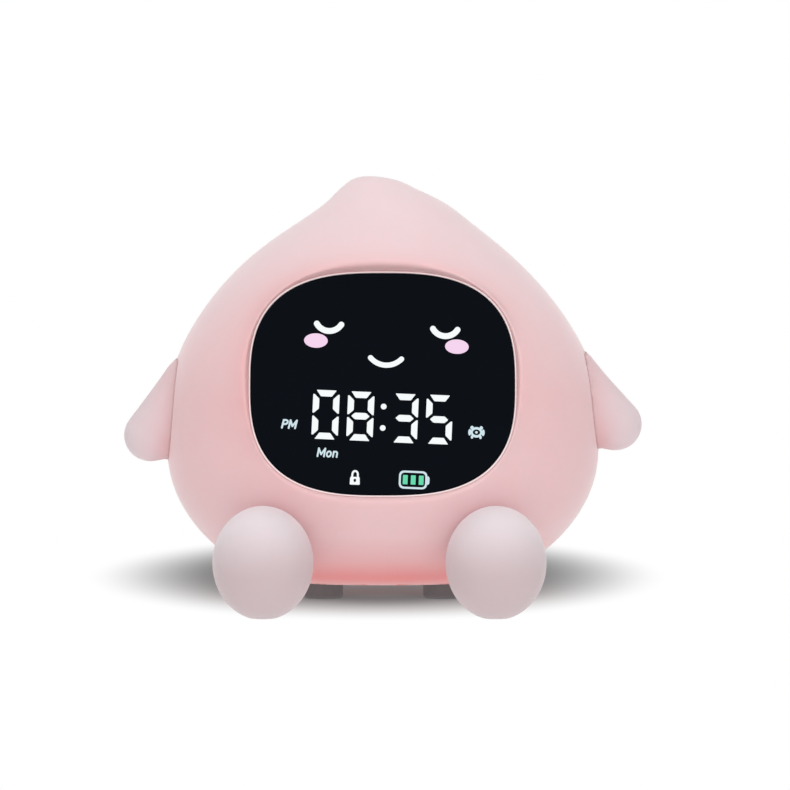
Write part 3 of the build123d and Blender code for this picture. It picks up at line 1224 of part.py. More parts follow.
NODES = {
    "silicone_skin": silicone_skin, "front_shell": front_shell, "rear_shell": rear_shell,
    "left_arm": lambda: arm(LEFT_ARM, ARM_STUDS[0]), "right_arm": lambda: arm(RIGHT_ARM, ARM_STUDS[1]),
    "left_foot": lambda: foot(-1), "right_foot": lambda: foot(1),
    "arm_studs": lambda: stud_pair(ARM_STUDS), "foot_studs": lambda: stud_pair(FOOT_STUDS),
    "base_plate": base_plate, "rear_bumpers": rear_bumpers, "base_screws": base_screws,
    "shell_screws": shell_screws,
    "window_rim": window_rim, "display_lens": display_lens, "lens_tape": lens_tape, "mask_film": mask_film,
    "light_grid": light_grid, "display_board": display_board, "display_leds": display_leds,
    "display_screws": display_screws,
    "control_panel": control_panel, "switch_knob": switch_knob, "power_switch": power_switch,
    "control_board": control_board, "tact_switches": tact_switches, "usb_socket": usb_socket,
    "panel_screws": panel_screws,
    "speaker_seal": speaker_seal, "speaker_frame": speaker_frame, "speaker_magnet": speaker_magnet,
    "speaker_cone": speaker_cone,
    "chassis": chassis, "chassis_screws": chassis_screws, "battery_foam": battery_foam,
    "battery_cell": battery_cell, "battery_strap": battery_strap, "main_board": main_board,
    "board_parts": board_parts, "board_screws": board_screws,
    "light_tower": light_tower, "tower_screws": tower_screws, "night_light_board": night_light_board,
    "night_light_leds": night_light_leds, "light_diffuser": light_diffuser,
    "touch_spring": touch_spring, "touch_pad": touch_pad,
    "display_ribbon": display_ribbon, "control_ribbon": control_ribbon, "speaker_lead": speaker_lead,
    "battery_lead": battery_lead, "light_lead": light_lead,
}

os.makedirs("parts", exist_ok=True)
for name, make in NODES.items():
    export_step(make(), f"parts/{name}.step")
for name, spot in zip(KEY_NAMES, KEY_SPOTS):
    export_step(push_key(spot), f"parts/{name}.step")
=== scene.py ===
"""Looks of a kids alarm clock with night light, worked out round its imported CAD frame.

Metres throughout, in the frame's own axes: X to the right, Y to the back, Z up.
"""

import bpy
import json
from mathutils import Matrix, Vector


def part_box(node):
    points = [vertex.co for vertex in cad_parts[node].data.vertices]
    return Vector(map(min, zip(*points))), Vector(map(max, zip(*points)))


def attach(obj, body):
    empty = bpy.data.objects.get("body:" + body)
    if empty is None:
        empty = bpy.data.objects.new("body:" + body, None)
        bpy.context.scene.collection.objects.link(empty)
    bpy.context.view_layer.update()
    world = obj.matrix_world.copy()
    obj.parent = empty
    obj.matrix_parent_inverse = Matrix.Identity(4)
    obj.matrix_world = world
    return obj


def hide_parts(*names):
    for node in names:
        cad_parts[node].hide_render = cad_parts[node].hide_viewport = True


bl_info = {
    "name": "Kids Alarm Clock Looks",
    "version": (1, 0, 0),
    "blender": (4, 5, 0),
    "location": "View3D > Sidebar > Night Clock",
    "description": "Soft cover, arms, feet, window, lit marks, key signs, finishes and stage of the clock",
    "category": "Object",
}

import json
from typing import NamedTuple

import bpy
import numpy as np
from bpy.props import FloatProperty, FloatVectorProperty, PointerProperty
from mathutils import Vector

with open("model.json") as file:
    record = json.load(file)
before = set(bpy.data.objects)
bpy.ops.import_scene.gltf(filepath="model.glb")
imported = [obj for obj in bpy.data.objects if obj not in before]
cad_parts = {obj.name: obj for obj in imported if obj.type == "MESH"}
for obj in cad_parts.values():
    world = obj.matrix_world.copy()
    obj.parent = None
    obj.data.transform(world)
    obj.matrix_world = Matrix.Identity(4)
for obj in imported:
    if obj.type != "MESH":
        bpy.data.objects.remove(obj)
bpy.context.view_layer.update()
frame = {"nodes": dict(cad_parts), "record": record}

MM = 0.001
ROOT = "clock"


def linear(code):
    """Linear red, green and blue of an sRGB hex colour such as #e8c2c2."""
    share = np.array([int(code[place:place + 2], 16) for place in (1, 3, 5)]) / 255.0
    return tuple(float(value) for value in np.where(share <= 0.04045, share / 12.92, ((share + 0.055) / 1.055) ** 2.4))


def node_box(node):
    """Lowest and highest corners of a CAD node as arrays."""
    low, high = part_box(node)
    return np.array(low), np.array(high)


# ---------------------------------------------------------------------------
# Driving sizes, from the frame where a node gives them

SKIN_LOW, SKIN_HIGH = node_box("silicone_skin")
LENS_LOW, LENS_HIGH = node_box("display_lens")
PANEL_LOW, PANEL_HIGH = node_box("control_panel")
SEAT_FIT = 0.05 * MM
SOFT_FIT = 0.15 * MM

HALF_WIDTH = 59.1 * MM
HALF_DEPTH = 50.5 * MM
BODY_Y = float(node_box("rear_shell")[0][1]) - SEAT_FIT
TIP_Y = 3.0 * MM
BASE_Z = float(SKIN_LOW[2])
TOP_Z = float(SKIN_HIGH[2])
BELLY_Z = 42.0 * MM
LOWER_SWEEP = 41.7 * MM
BELLY_POWER = 2.4
TIP_POWER = 2.0
# Above the belly: share of the height, share of the half width, share of the half width that it leans
UPPER_STEPS = np.array((
    (0.0, 1.0, 0.0), (0.16, 0.992, 0.0), (0.32, 0.958, -0.002), (0.48, 0.856, -0.005),
    (0.62, 0.718, -0.007), (0.74, 0.556, -0.004), (0.84, 0.385, 0.008), (0.915, 0.253, 0.004),
    (0.962, 0.16, -0.028), (0.988, 0.098, -0.046), (1.0, 0.0, -0.067),
))
BASE_ROUND = 2.4 * MM
FLOOR_LIP = 2.8 * MM

FACE_LEAN = np.radians(12.0)
MARKS_ROLL = np.radians(-2.5)
LENS_THICKNESS = 1.5 * MM
LENS_POWER = 2.8
LENS_HALF = (35.1 * MM, 29.9 * MM)
RIM_WIDTH = 0.55 * MM
RIM_PROUD = 0.3 * MM
RIM_FIT = 0.03 * MM
PANEL_POWER = 3.4
PANEL_HALF = (29.0 * MM, 15.5 * MM)

OUT_OF_FACE = np.array((0.0, -np.cos(FACE_LEAN), np.sin(FACE_LEAN)))
UP_THE_FACE = np.array((0.0, np.sin(FACE_LEAN), np.cos(FACE_LEAN)))
FACE_MIDDLE = (LENS_LOW + LENS_HIGH) / 2 + OUT_OF_FACE * LENS_THICKNESS / 2


class Opening(NamedTuple):
    """A place where the soft cover is turned in: its plane, its outline let out by a margin, the depth of its throat,
    and the share of the lip's rise that is left at its bottom."""
    middle: np.ndarray
    up: np.ndarray
    outward: np.ndarray
    half: tuple
    power: float
    margin: float
    throat: float
    low_rise: float


WINDOW = Opening(
    FACE_MIDDLE, UP_THE_FACE, OUT_OF_FACE, LENS_HALF, LENS_POWER, RIM_WIDTH + RIM_FIT,
    throat=2.0 * MM, low_rise=0.3,
)
BACK = Opening(
    np.array((0.0, PANEL_HIGH[1], (PANEL_LOW[2] + PANEL_HIGH[2]) / 2)), np.array((0.0, 0.0, 1.0)),
    np.array((0.0, 1.0, 0.0)), PANEL_HALF, PANEL_POWER, SOFT_FIT, throat=1.8 * MM, low_rise=1.0,
)
ACROSS = np.array((1.0, 0.0, 0.0))


# ---------------------------------------------------------------------------
# Form of the body

SLOPE_STEP = 0.02 * MM
HALVINGS = 20
TINY = 1e-6


def smooth_step(share):
    """Ease from 0 to 1 with no kink at either end: three times the square less twice the cube."""
    share = np.clip(share, 0.0, 1.0)
    return share * share * (3.0 - 2.0 * share)


def bends(knots, values):
    """Second derivatives of the smooth curve through the knots: level at its start, unbent at its end."""
    count = len(knots)
    gap = np.diff(knots)
    slope = np.diff(values) / gap
    table = np.zeros((count, count))
    right = np.zeros(count)
    table[0, :2] = 2.0 * gap[0], gap[0]
    right[0] = 6.0 * slope[0]
    inner = np.arange(1, count - 1)
    table[inner, inner - 1] = gap[:-1]
    table[inner, inner] = 2.0 * (gap[:-1] + gap[1:])
    table[inner, inner + 1] = gap[1:]
    right[inner] = 6.0 * np.diff(slope)
    table[-1, -1] = 1.0
    return np.linalg.solve(table, right)


def along_curve(knots, values, bend, places):
    """Cubic pieces between the knots that share slope and bend, carried on straight beyond the last."""
    inside = np.clip(places, knots[0], knots[-1])
    piece = np.clip(np.searchsorted(knots, inside, side="right") - 1, 0, len(knots) - 2)
    gap = knots[piece + 1] - knots[piece]
    after = (inside - knots[piece]) / gap
    before = 1.0 - after
    curved = ((before ** 3 - before) * bend[piece] + (after ** 3 - after) * bend[piece + 1]) * gap * gap / 6.0
    last_gap = knots[-1] - knots[-2]
    last_slope = (values[-1] - values[-2]) / last_gap + bend[-2] * last_gap / 6.0
    return before * values[piece] + after * values[piece + 1] + curved + last_slope * (places - inside)


RISE = BELLY_Z + UPPER_STEPS[:, 0] * (TOP_Z - BELLY_Z)
WIDTH_SQUARED = (UPPER_STEPS[:, 1] * HALF_WIDTH) ** 2
WIDTH_BENDS = bends(RISE, WIDTH_SQUARED)
LEAN = UPPER_STEPS[:, 2] * HALF_WIDTH
LEAN_BENDS = bends(RISE, LEAN)


def half_width_squared(height):
    """Square of the body's half width: an ellipse below the belly and the smooth pear curve above it."""
    drop = np.maximum(BELLY_Z - height, 0.0) / LOWER_SWEEP
    upper = along_curve(RISE, WIDTH_SQUARED, WIDTH_BENDS, np.maximum(height, BELLY_Z))
    return np.where(height < BELLY_Z, HALF_WIDTH ** 2 * (1.0 - drop * drop), upper)


def form_value(points):
    """Below 0 inside the pear: squared superellipse reach of a point in its section less the squared half width."""
    x, y, height = points[..., 0], points[..., 1], points[..., 2]
    blend = smooth_step((height - BELLY_Z) / (TOP_Z - BELLY_Z))
    ratio = HALF_DEPTH / HALF_WIDTH * (1.0 - blend) + blend
    power = BELLY_POWER + (TIP_POWER - BELLY_POWER) * blend
    lean = np.where(height < BELLY_Z, 0.0, along_curve(RISE, LEAN, LEAN_BENDS, np.maximum(height, BELLY_Z)))
    middle = BODY_Y + (TIP_Y - BODY_Y) * blend
    sides = np.abs(x - lean) ** power + (np.abs(y - middle) / ratio) ** power
    return sides ** (2.0 / power) - half_width_squared(height)


def flank_gap(points):
    """Distance outside the flank: the form's value divided by the length of its gradient."""
    slope = np.stack([
        form_value(points + SLOPE_STEP * axis) - form_value(points - SLOPE_STEP * axis) for axis in np.eye(3)
    ], axis=-1) / (2.0 * SLOPE_STEP)
    return form_value(points) / np.maximum(np.linalg.norm(slope, axis=-1), TINY)


def meet(radius, *gaps):
    """Distance outside what several forms have in common, with the edge between them rounded to a radius."""
    beyond = np.stack([np.maximum(gap + radius, 0.0) for gap in gaps])
    inner = np.max(np.stack([gap + radius for gap in gaps]), axis=0)
    return np.minimum(inner, 0.0) + np.sqrt((beyond ** 2).sum(axis=0)) - radius


def body_gap(points):
    """Distance outside the body: the flank and the flat underside, met by a rounded edge."""
    return meet(BASE_ROUND, flank_gap(points), BASE_Z - points[..., 2])


def first_surface(start, direction, far, gap, near=0.0):
    """Halve each ray again and again to find where it leaves the inside of a form."""
    low = np.full(direction.shape[:-1], near)
    high = np.full(direction.shape[:-1], far)
    for _ in range(HALVINGS):
        middle = (low + high) / 2
        inside = gap(start + direction * middle[..., None]) < 0.0
        low = np.where(inside, middle, low)
        high = np.where(inside, high, middle)
    return (low + high) / 2


# ---------------------------------------------------------------------------
# Meshes

def new_piece(name, points, faces, material, smooth=True):
    """A mesh object at the origin from points and faces, with one material."""
    mesh = bpy.data.meshes.new(name)
    mesh.from_pydata(np.asarray(points).reshape(-1, 3).tolist(), [], faces)
    mesh.polygons.foreach_set("use_smooth", np.full(len(mesh.polygons), smooth))
    mesh.materials.append(material)
    mesh.update()
    piece = bpy.data.objects.new(name, mesh)
    bpy.context.scene.collection.objects.link(piece)
    return piece


def set_tint(piece, values):
    """Give each point its share of a finish's deep colour: painted shade on the cover and the feet, the body's pink
    showing through on the arms.
    """
    tint = piece.data.attributes.new("tint", "FLOAT", "POINT")
    tint.data.foreach_set("value", values.astype(np.float32))


def ring_faces(rows, around, closed_rows=False):
    """Quads of a grid whose columns wrap round, facing row direction times column direction."""
    steps = rows if closed_rows else rows - 1
    row, column = np.meshgrid(np.arange(steps), np.arange(around), indexing="ij")
    below, beside = (row + 1) % rows, (column + 1) % around
    corners = (row * around + column, below * around + column, below * around + beside, row * around + beside)
    return np.stack(corners, axis=-1).reshape(-1, 4)


def oval_reach(flat, power):
    """How far out flat points lie in a superellipse of half size 1: the root of their summed powers, 1 on its line."""
    return (np.abs(flat) ** power).sum(axis=-1) ** (1.0 / power)


def oval_points(half, power, margin, count):
    """Superellipse outline in a plane: each half size is let out by the margin."""
    turn = np.linspace(0.0, 2.0 * np.pi, count, endpoint=False)
    way = np.stack([np.cos(turn), np.sin(turn)], axis=-1)
    return way / oval_reach(way, power)[:, None] * (np.asarray(half) + margin)


def on_plane(opening, flat, level):
    """Places in space of flat points of an opening's plane, at a level above it."""
    level = np.broadcast_to(level, flat.shape[:-1])[..., None]
    return opening.middle + flat[..., :1] * ACROSS + flat[..., 1:] * opening.up + level * opening.outward


# ---------------------------------------------------------------------------
# Soft cover

AROUND = 256
THROAT_ROWS = 4
LIP_ROWS = 30
BODY_ROWS = 104
LIP_REACH = 10.0 * MM
LIP_CROWDING = 2.2          # rows lie closer together near the insert
FLARE_POWER = 0.72
LIP_SHARPNESS = 3.0
LEAST_SPREAD = 1e-4         # in millimetres, so that the flare's power is never of 0
LEAST_RISE = 0.01 * MM      # under this the cover just follows the flank
HEART = np.array((0.0, BODY_Y, 50.0 * MM))     # the rays over the flank start here
PROBE = 30.0 * MM           # how far a ray is followed from an opening's plane


def lip_rows(opening, rise):
    """Rows from the bottom of a throat, up its wall and over a soft lip to the open flank.

    The lip keeps under the flank and under a flare that rises as a power of the distance from the insert:
    it is the inverse root of the summed inverse powers of the two heights. The flare eases to low_rise of its
    rise at the opening's bottom.
    """
    throat = [
        on_plane(opening, oval_points(opening.half, opening.power, opening.margin, AROUND), level)
        for level in np.linspace(-opening.throat, 0.0, THROAT_ROWS, endpoint=False)
    ]
    spread = LIP_REACH * np.linspace(0.0, 1.0, LIP_ROWS) ** LIP_CROWDING
    flat = np.stack([oval_points(opening.half, opening.power, opening.margin + step, AROUND) for step in spread])
    base = on_plane(opening, flat, 0.0)
    flank = first_surface(base, np.broadcast_to(opening.outward, base.shape), PROBE, body_gap, -PROBE)
    upward = smooth_step((flat[..., 1] / opening.half[1] + 1.0) / 2.0)
    eased = rise * (opening.low_rise + (1.0 - opening.low_rise) * upward)
    flare = eased * np.maximum(spread / MM, LEAST_SPREAD)[:, None] ** FLARE_POWER
    level = (np.maximum(flank, LEAST_RISE) ** -LIP_SHARPNESS + flare ** -LIP_SHARPNESS) ** (-1.0 / LIP_SHARPNESS)
    level = np.where(flank > LEAST_RISE, level, flank)
    settle = smooth_step(spread / LIP_REACH)[:, None]
    level = level * (1.0 - settle) + flank * settle
    return np.concatenate([np.stack(throat), on_plane(opening, flat, level)])


def flank_rows(first, last):
    """Rows over the open flank, where rays that turn evenly from one lip's edge to the other's meet the body."""
    start = first - HEART
    end = last - HEART
    start /= np.linalg.norm(start, axis=-1, keepdims=True)
    end /= np.linalg.norm(end, axis=-1, keepdims=True)
    angle = np.arccos(np.clip((start * end).sum(axis=-1, keepdims=True), -1.0, 1.0))
    share = np.linspace(0.0, 1.0, BODY_ROWS + 2)[1:-1, None, None]
    direction = (np.sin((1.0 - share) * angle) * start + np.sin(share * angle) * end) / np.sin(angle)
    return HEART + direction * first_surface(HEART, direction, 3 * PROBE, body_gap)[..., None]


def open_floor(points, faces):
    """Leave the hole over the base plate: faces in it go, and the points round it move out to its outline."""
    half = np.sqrt(half_width_squared(np.array(BASE_Z)))
    hole = np.array((half - FLOOR_LIP, half * HALF_DEPTH / HALF_WIDTH - FLOOR_LIP))
    flat = (points[:, :2] - (0.0, BODY_Y)) / hole
    reach = oval_reach(flat, BELLY_POWER)
    within = (reach < 1.0) & (points[:, 2] < BASE_Z + BASE_ROUND / 2)
    kept = faces[~within[faces].all(axis=1)]
    used = np.unique(kept)
    edge = used[within[used]]
    points[edge, :2] = (0.0, BODY_Y) + flat[edge] / reach[edge, None] * hole
    points[edge, 2] = BASE_Z
    order = np.full(len(points), -1)
    order[used] = np.arange(len(used))
    return points[used], order[kept]


# Painted shade on the cover: depth of the deep pink at shares of the cover's height, darker low down, and how the
# shade of the window's recess deepens it beside the window: by how much, how this changes to the right and upwards, and
# over what share of the window's size it fades
SHADE_HEIGHTS = (0.0, 0.03, 0.07, 0.13, 0.3, 0.45, 0.75, 1.0)
SHADE_DEPTHS = (1.0, 0.88, 0.5, 0.25, 0.26, 0.28, 0.06, 0.0)
BESIDE_SHADE = 0.2
BESIDE_LEAN = np.array((-0.08, 0.18))
BESIDE_FADE = 0.13


def cover_shade_share(points):
    """How deep the painted shade is, 0 to 1: deeper low down, beside the window and where the cover turns in, standing
    in for the shade there.
    """
    share = (points[:, 2] - BASE_Z) / (TOP_Z - BASE_Z)
    low = np.interp(share, SHADE_HEIGHTS, SHADE_DEPTHS)
    beside = points - WINDOW.middle
    flat = np.stack([beside @ ACROSS / LENS_HALF[0], beside @ WINDOW.up / LENS_HALF[1]], axis=-1)
    beyond = np.maximum(oval_reach(flat, LENS_POWER) - 1.0, 0.0)
    near = np.exp(-beyond / BESIDE_FADE) * (points[:, 1] < BODY_Y)
    return np.clip(low + (BESIDE_SHADE + flat @ BESIDE_LEAN) * near, 0.0, 1.0)


class CLOCK_OT_cover(bpy.types.Operator):
    """Soft silicone cover, turned in round the window and the back panel and open under the base."""
    bl_idname = "night_clock.cover"
    bl_label = "Soft Cover"

    def execute(self, context):
        sizes = context.scene.night_clock_sizes
        front = lip_rows(WINDOW, sizes.window_rise)
        rear = lip_rows(BACK, sizes.panel_rise)
        flank = flank_rows(front[-1], rear[-1])
        rows = np.concatenate([front, flank, rear[::-1]])
        points, faces = open_floor(rows.reshape(-1, 3), ring_faces(len(rows), AROUND))
        cover = new_piece("soft_cover", points, faces.tolist(), finish("pink_silicone"))
        # Painted shade: the cover's pink is laid on deeper low down and round the window's recess
        set_tint(cover, cover_shade_share(points))
        wall = cover.modifiers.new("wall", "SOLIDIFY")
        wall.thickness = sizes.cover_wall
        wall.offset = -1.0
        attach(cover, ROOT)
        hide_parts("silicone_skin")
        return {"FINISHED"}


# ---------------------------------------------------------------------------
# Arms and feet: forms seen from their own middle, so each is one reach for each direction

LIMB_AROUND = 112
LIMB_ROWS = 96
ARM_RADIUS = 7.05 * MM
ARM_LENGTH = 17.0 * MM
ARM_Y = -2.0 * MM
# Side, height of the hand's middle, and how steeply the arm climbs to the flank
HANDS = {"left": (-1, 46.3 * MM, np.radians(53.0)), "right": (1, 49.3 * MM, np.radians(47.5))}
HAND_TUCK = 0.35 * MM       # how far a hand stands in from the frame's widest place
ARM_FLARE = 1.3 * MM
LIMB_FIT = -0.1 * MM        # below 0, so a limb is pressed a little into the cover
BLUSH_REACH = 3.5 * MM
FOOT_HALF = np.array((13.35, 14.5, 15.1)) * MM
FOOT_FLAT = 0.5 * MM
FOOT_SHADE = 1.35           # part of a foot's half height over which its painted shade deepens
FOOT_X = {"left": -31.6 * MM, "right": 30.0 * MM}
LIMB_PROBE = 32.0 * MM


def limb_directions(axis):
    """Unit directions on rows and columns of a ball whose poles lie on an axis, without the poles themselves."""
    beside = np.cross(axis, (0.0, 1.0, 0.0))
    beside /= np.linalg.norm(beside)
    third = np.cross(axis, beside)
    tilt = np.linspace(0.0, np.pi, LIMB_ROWS + 2)[1:-1, None, None]
    turn = np.linspace(0.0, 2.0 * np.pi, LIMB_AROUND, endpoint=False)[None, :, None]
    return np.cos(tilt) * axis + np.sin(tilt) * (np.cos(turn) * beside + np.sin(turn) * third)


def limb(name, node, middle, axis, gap, silicone, tint):
    """A closed form round its middle: every direction's ray is followed to the form's surface."""
    rows = limb_directions(axis)
    shell = middle + rows * first_surface(middle, rows, LIMB_PROBE, gap)[..., None]
    poles = np.stack([axis, -axis])
    ends = middle + poles * first_surface(middle, poles, LIMB_PROBE, gap)[:, None]
    points = np.concatenate([shell.reshape(-1, 3), ends])
    first, last = len(points) - 2, len(points) - 1
    step = np.arange(LIMB_AROUND)
    beside = (step + 1) % LIMB_AROUND
    base = (LIMB_ROWS - 1) * LIMB_AROUND
    faces = ring_faces(LIMB_ROWS, LIMB_AROUND).tolist()
    faces += np.stack([np.full(LIMB_AROUND, first), step, beside], axis=-1).tolist()
    faces += np.stack([base + step, np.full(LIMB_AROUND, last), base + beside], axis=-1).tolist()
    piece = new_piece(name, points, faces, finish(silicone))
    set_tint(piece, tint(points))
    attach(piece, ROOT)
    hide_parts(node)


def arm_tint(points):
    """How far the body's pink shows through: the exponential of the distance from the flank."""
    return np.exp(-np.maximum(flank_gap(points), 0.0) / BLUSH_REACH)


def foot_shade_share(points):
    """How deep a foot's painted shade is, light on top and darker low down: an ease from 0 at its top to 1 a third of
    the way up from the floor.
    """
    return smooth_step((FOOT_HALF[2] * 2 - points[:, 2]) / (FOOT_HALF[2] * FOOT_SHADE))


def capsule_gap(points, start, axis, length, radius):
    """Distance outside a rod with a round end: distance to its middle line less its radius."""
    offset = points - start
    along = np.clip(offset @ axis, 0.0, length)
    return np.linalg.norm(offset - along[..., None] * axis, axis=-1) - radius


def egg_gap(points, middle, half):
    """Distance outside an egg: the scaled reach less one, divided by the length of its gradient."""
    scaled = (points - middle) / half
    reach = np.maximum(np.linalg.norm(scaled, axis=-1), TINY)
    slope = np.linalg.norm(scaled / half, axis=-1) / reach
    return (reach - 1.0) / np.maximum(slope, TINY)


class CLOCK_OT_arms(bpy.types.Operator):
    """Two short frosted arms, round at the hand and flared where they seat on the flank.

    The flare grows as the exponential of the nearness to the flank.
    """
    bl_idname = "night_clock.arms"
    bl_label = "Arms"

    def execute(self, context):
        rounding = context.scene.night_clock_sizes.limb_rounding
        for name, (side, height, angle) in HANDS.items():
            axis = np.array((-side * np.cos(angle), 0.0, np.sin(angle)))
            edge = node_box(name + "_arm")[int(side > 0)][0]
            hand = np.array((edge - side * (ARM_RADIUS + HAND_TUCK), ARM_Y, height))

            def arm_gap(points):
                away = flank_gap(points)
                flare = ARM_FLARE * np.exp(-np.maximum(away, 0.0) / ARM_FLARE)
                rod = capsule_gap(points, hand, axis, ARM_LENGTH, ARM_RADIUS) - flare
                return meet(rounding, rod, LIMB_FIT - away)

            limb("frosted_arm_" + name, name + "_arm", hand, axis, arm_gap, "frosted_silicone", arm_tint)
        return {"FINISHED"}


class CLOCK_OT_feet(bpy.types.Operator):
    """Two frosted egg-shaped feet, flat below and hollow behind where they seat on the body."""
    bl_idname = "night_clock.feet"
    bl_label = "Feet"

    def execute(self, context):
        rounding = context.scene.night_clock_sizes.limb_rounding
        for name, across in FOOT_X.items():
            front = node_box(name + "_foot")[0][1]
            middle = np.array((across, front + FOOT_HALF[1], FOOT_HALF[2] - FOOT_FLAT))

            def foot_gap(points):
                egg = egg_gap(points, middle, FOOT_HALF)
                return meet(rounding, egg, LIMB_FIT - flank_gap(points), -points[..., 2])

            upright = np.array((0.0, 0.0, 1.0))
            limb("frosted_foot_" + name, name + "_foot", middle, upright, foot_gap, "frosted_foot", foot_shade_share)
        return {"FINISHED"}


# ---------------------------------------------------------------------------
# Window rim

RIM_AROUND = 320
CROWN_STEPS = 9
RIM_ROUND = 0.25 * MM
LENS_FIT = 0.1 * MM
RIM_LEDGE = 1.8 * MM
LEDGE_TOP = -1.7 * MM
RIM_BACK = -2.15 * MM


class CLOCK_OT_rim(bpy.types.Operator):
    """Thin pale rim round the lens: its section is carried along the window's outline."""
    bl_idname = "night_clock.rim"
    bl_label = "Window Rim"

    def execute(self, context):
        crown_middle = (RIM_WIDTH + LENS_FIT) / 2
        crown_half = (RIM_WIDTH - LENS_FIT) / 2
        section = [
            (crown_middle + crown_half * np.cos(step), RIM_PROUD - RIM_ROUND + RIM_ROUND * np.sin(step))
            for step in np.linspace(0.0, np.pi, CROWN_STEPS)
        ]
        section += [(LENS_FIT, LEDGE_TOP), (-RIM_LEDGE, LEDGE_TOP), (-RIM_LEDGE, RIM_BACK), (RIM_WIDTH, RIM_BACK)]
        rows = np.stack([
            on_plane(WINDOW, oval_points(WINDOW.half, LENS_POWER, margin, RIM_AROUND), level)
            for margin, level in section[::-1]
        ])
        faces = ring_faces(len(rows), RIM_AROUND, closed_rows=True)
        rim = new_piece("window_rim_moulding", rows, faces.tolist(), finish("rim_plastic"))
        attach(rim, ROOT)
        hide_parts("window_rim")
        return {"FINISHED"}


# ---------------------------------------------------------------------------
# Lit marks: flat outlines in the window, in millimetres from its middle

MARK_LIFT = 0.01
BAR_ROUND = 0.22
TOP_BAR = np.array(((2.67, 6.59), (-2.67, 6.59), (-1.45, 4.88), (1.45, 4.88)))
MIDDLE_BAR = np.array(((-2.45, 0.0), (-1.45, -0.89), (1.45, -0.89), (2.45, 0.0), (1.45, 0.89), (-1.45, 0.89)))
SIDE_BAR = np.array(((-3.51, 5.48), (-3.51, 0.38), (-3.15, 0.38), (-1.85, 1.6), (-1.85, 4.2), (-3.15, 5.48)))
UNDER = np.array((1.0, -1.0))
MIRROR = np.array((-1.0, 1.0))
BARS = {
    "top": TOP_BAR, "bottom": (TOP_BAR * UNDER)[::-1], "middle": MIDDLE_BAR,
    "upper_left": SIDE_BAR, "upper_right": (SIDE_BAR * MIRROR)[::-1],
    "lower_left": (SIDE_BAR * UNDER)[::-1], "lower_right": SIDE_BAR * UNDER * MIRROR,
}
DIGIT_BARS = {
    "0": ("top", "bottom", "upper_left", "upper_right", "lower_left", "lower_right"),
    "8": tuple(BARS),
    "3": ("top", "bottom", "middle", "upper_right", "lower_right"),
    "5": ("top", "bottom", "middle", "upper_left", "lower_right"),
}
DIGITS = (("0", (-14.75, -8.97)), ("8", (-5.5, -8.98)), ("3", (6.24, -9.05)), ("5", (15.39, -8.99)))
COLON = ((0.56, -6.13), (0.56, -11.89))
COLON_RADIUS = 0.76
# Ends and lowest point of each curved line, and its width
EYES = (((-18.22, 15.47), (-11.68, 15.47), (-14.95, 13.6)), ((12.74, 15.42), (19.28, 15.42), (16.0, 13.55)))
MOUTH = ((-3.51, 6.87), (4.73, 6.87), (0.61, 5.03))
EYE_WIDTH = 1.58
MOUTH_WIDTH = 1.4
CHEEKS = ((-18.25, 10.87), (19.3, 10.85))
CHEEK_HALF = (3.15, 1.95)


def rounded(corners, radius, steps=4):
    """Outline whose corners are cut back by a radius along both sides and joined by a parabola."""
    corners = np.asarray(corners, float)
    before = np.roll(corners, 1, axis=0) - corners
    after = np.roll(corners, -1, axis=0) - corners
    first = corners + before / np.linalg.norm(before, axis=1, keepdims=True) * radius
    last = corners + after / np.linalg.norm(after, axis=1, keepdims=True) * radius
    share = np.linspace(0.0, 1.0, steps)[None, :, None]
    curve = first[:, None] * (1 - share) ** 2 + 2 * corners[:, None] * share * (1 - share) + last[:, None] * share ** 2
    return curve.reshape(-1, 2)


def bowl(middle, half, first, last, count=14):
    """Part of an ellipse as a path between two angles in degrees."""
    turn = np.radians(np.linspace(first, last, count))
    return np.asarray(middle) + np.stack([half[0] * np.cos(turn), half[1] * np.sin(turn)], axis=-1)


def ellipse(middle, half, count=40):
    """Ellipse outline round a middle, as a closed bowl less its last point."""
    return bowl(middle, half, 0, 360, count + 1)[:-1]


def stroke(path, width, caps=7):
    """Outline of a line of one width with round ends: the path moved to each side, joined by half circles."""
    path = np.asarray(path, float)
    along = np.gradient(path, axis=0)
    along /= np.linalg.norm(along, axis=1, keepdims=True)
    side = np.stack([along[:, 1], -along[:, 0]], axis=-1) * width / 2
    turn = np.linspace(-np.pi / 2, np.pi / 2, caps + 2)[1:-1, None]
    end_cap = path[-1] + width / 2 * np.cos(turn) * along[-1] - np.sin(turn) * side[-1]
    start_cap = path[0] - width / 2 * np.cos(turn) * along[0] + np.sin(turn) * side[0]
    return np.concatenate([path + side, end_cap, (path - side)[::-1], start_cap])


def hanging_arc(left, right, low, count=24):
    """Circle through the two ends and the lowest point, as a path from left to right."""
    left, right, low = (np.asarray(spot, float) for spot in (left, right, low))
    rows = 2.0 * np.stack([right - left, low - left])
    middle = np.linalg.solve(rows, np.array((right @ right - left @ left, low @ low - left @ left)))
    first, last = (np.arctan2(*(spot - middle)[::-1]) for spot in (left, right))
    turn = np.linspace(first if first < 0 else first - 2 * np.pi, last if last < 0 else last - 2 * np.pi, count)
    radius = np.linalg.norm(left - middle)
    return middle + radius * np.stack([np.cos(turn), np.sin(turn)], axis=-1)


def flat_solid(outline, low, high):
    """Points and faces of a thin plate with an outline that runs counterclockwise: front, back and wall."""
    count = len(outline)
    points = np.concatenate([
        np.column_stack([outline, np.full(count, high)]), np.column_stack([outline, np.full(count, low)]),
    ])
    step = np.arange(count)
    beside = (step + 1) % count
    wall = np.stack([step + count, beside + count, beside, step], axis=-1).tolist()
    return points, [step.tolist(), (step[::-1] + count).tolist()] + wall


def flat_ring(outer, inner, low, high):
    """Points and faces of a thin ring between two outlines with as many points each."""
    count = len(outer)
    rows = [(outer, high), (inner, high), (inner, low), (outer, low)]
    points = np.concatenate([np.column_stack([outline, np.full(count, level)]) for outline, level in rows])
    return points, ring_faces(4, count, closed_rows=True)[:, ::-1].tolist()


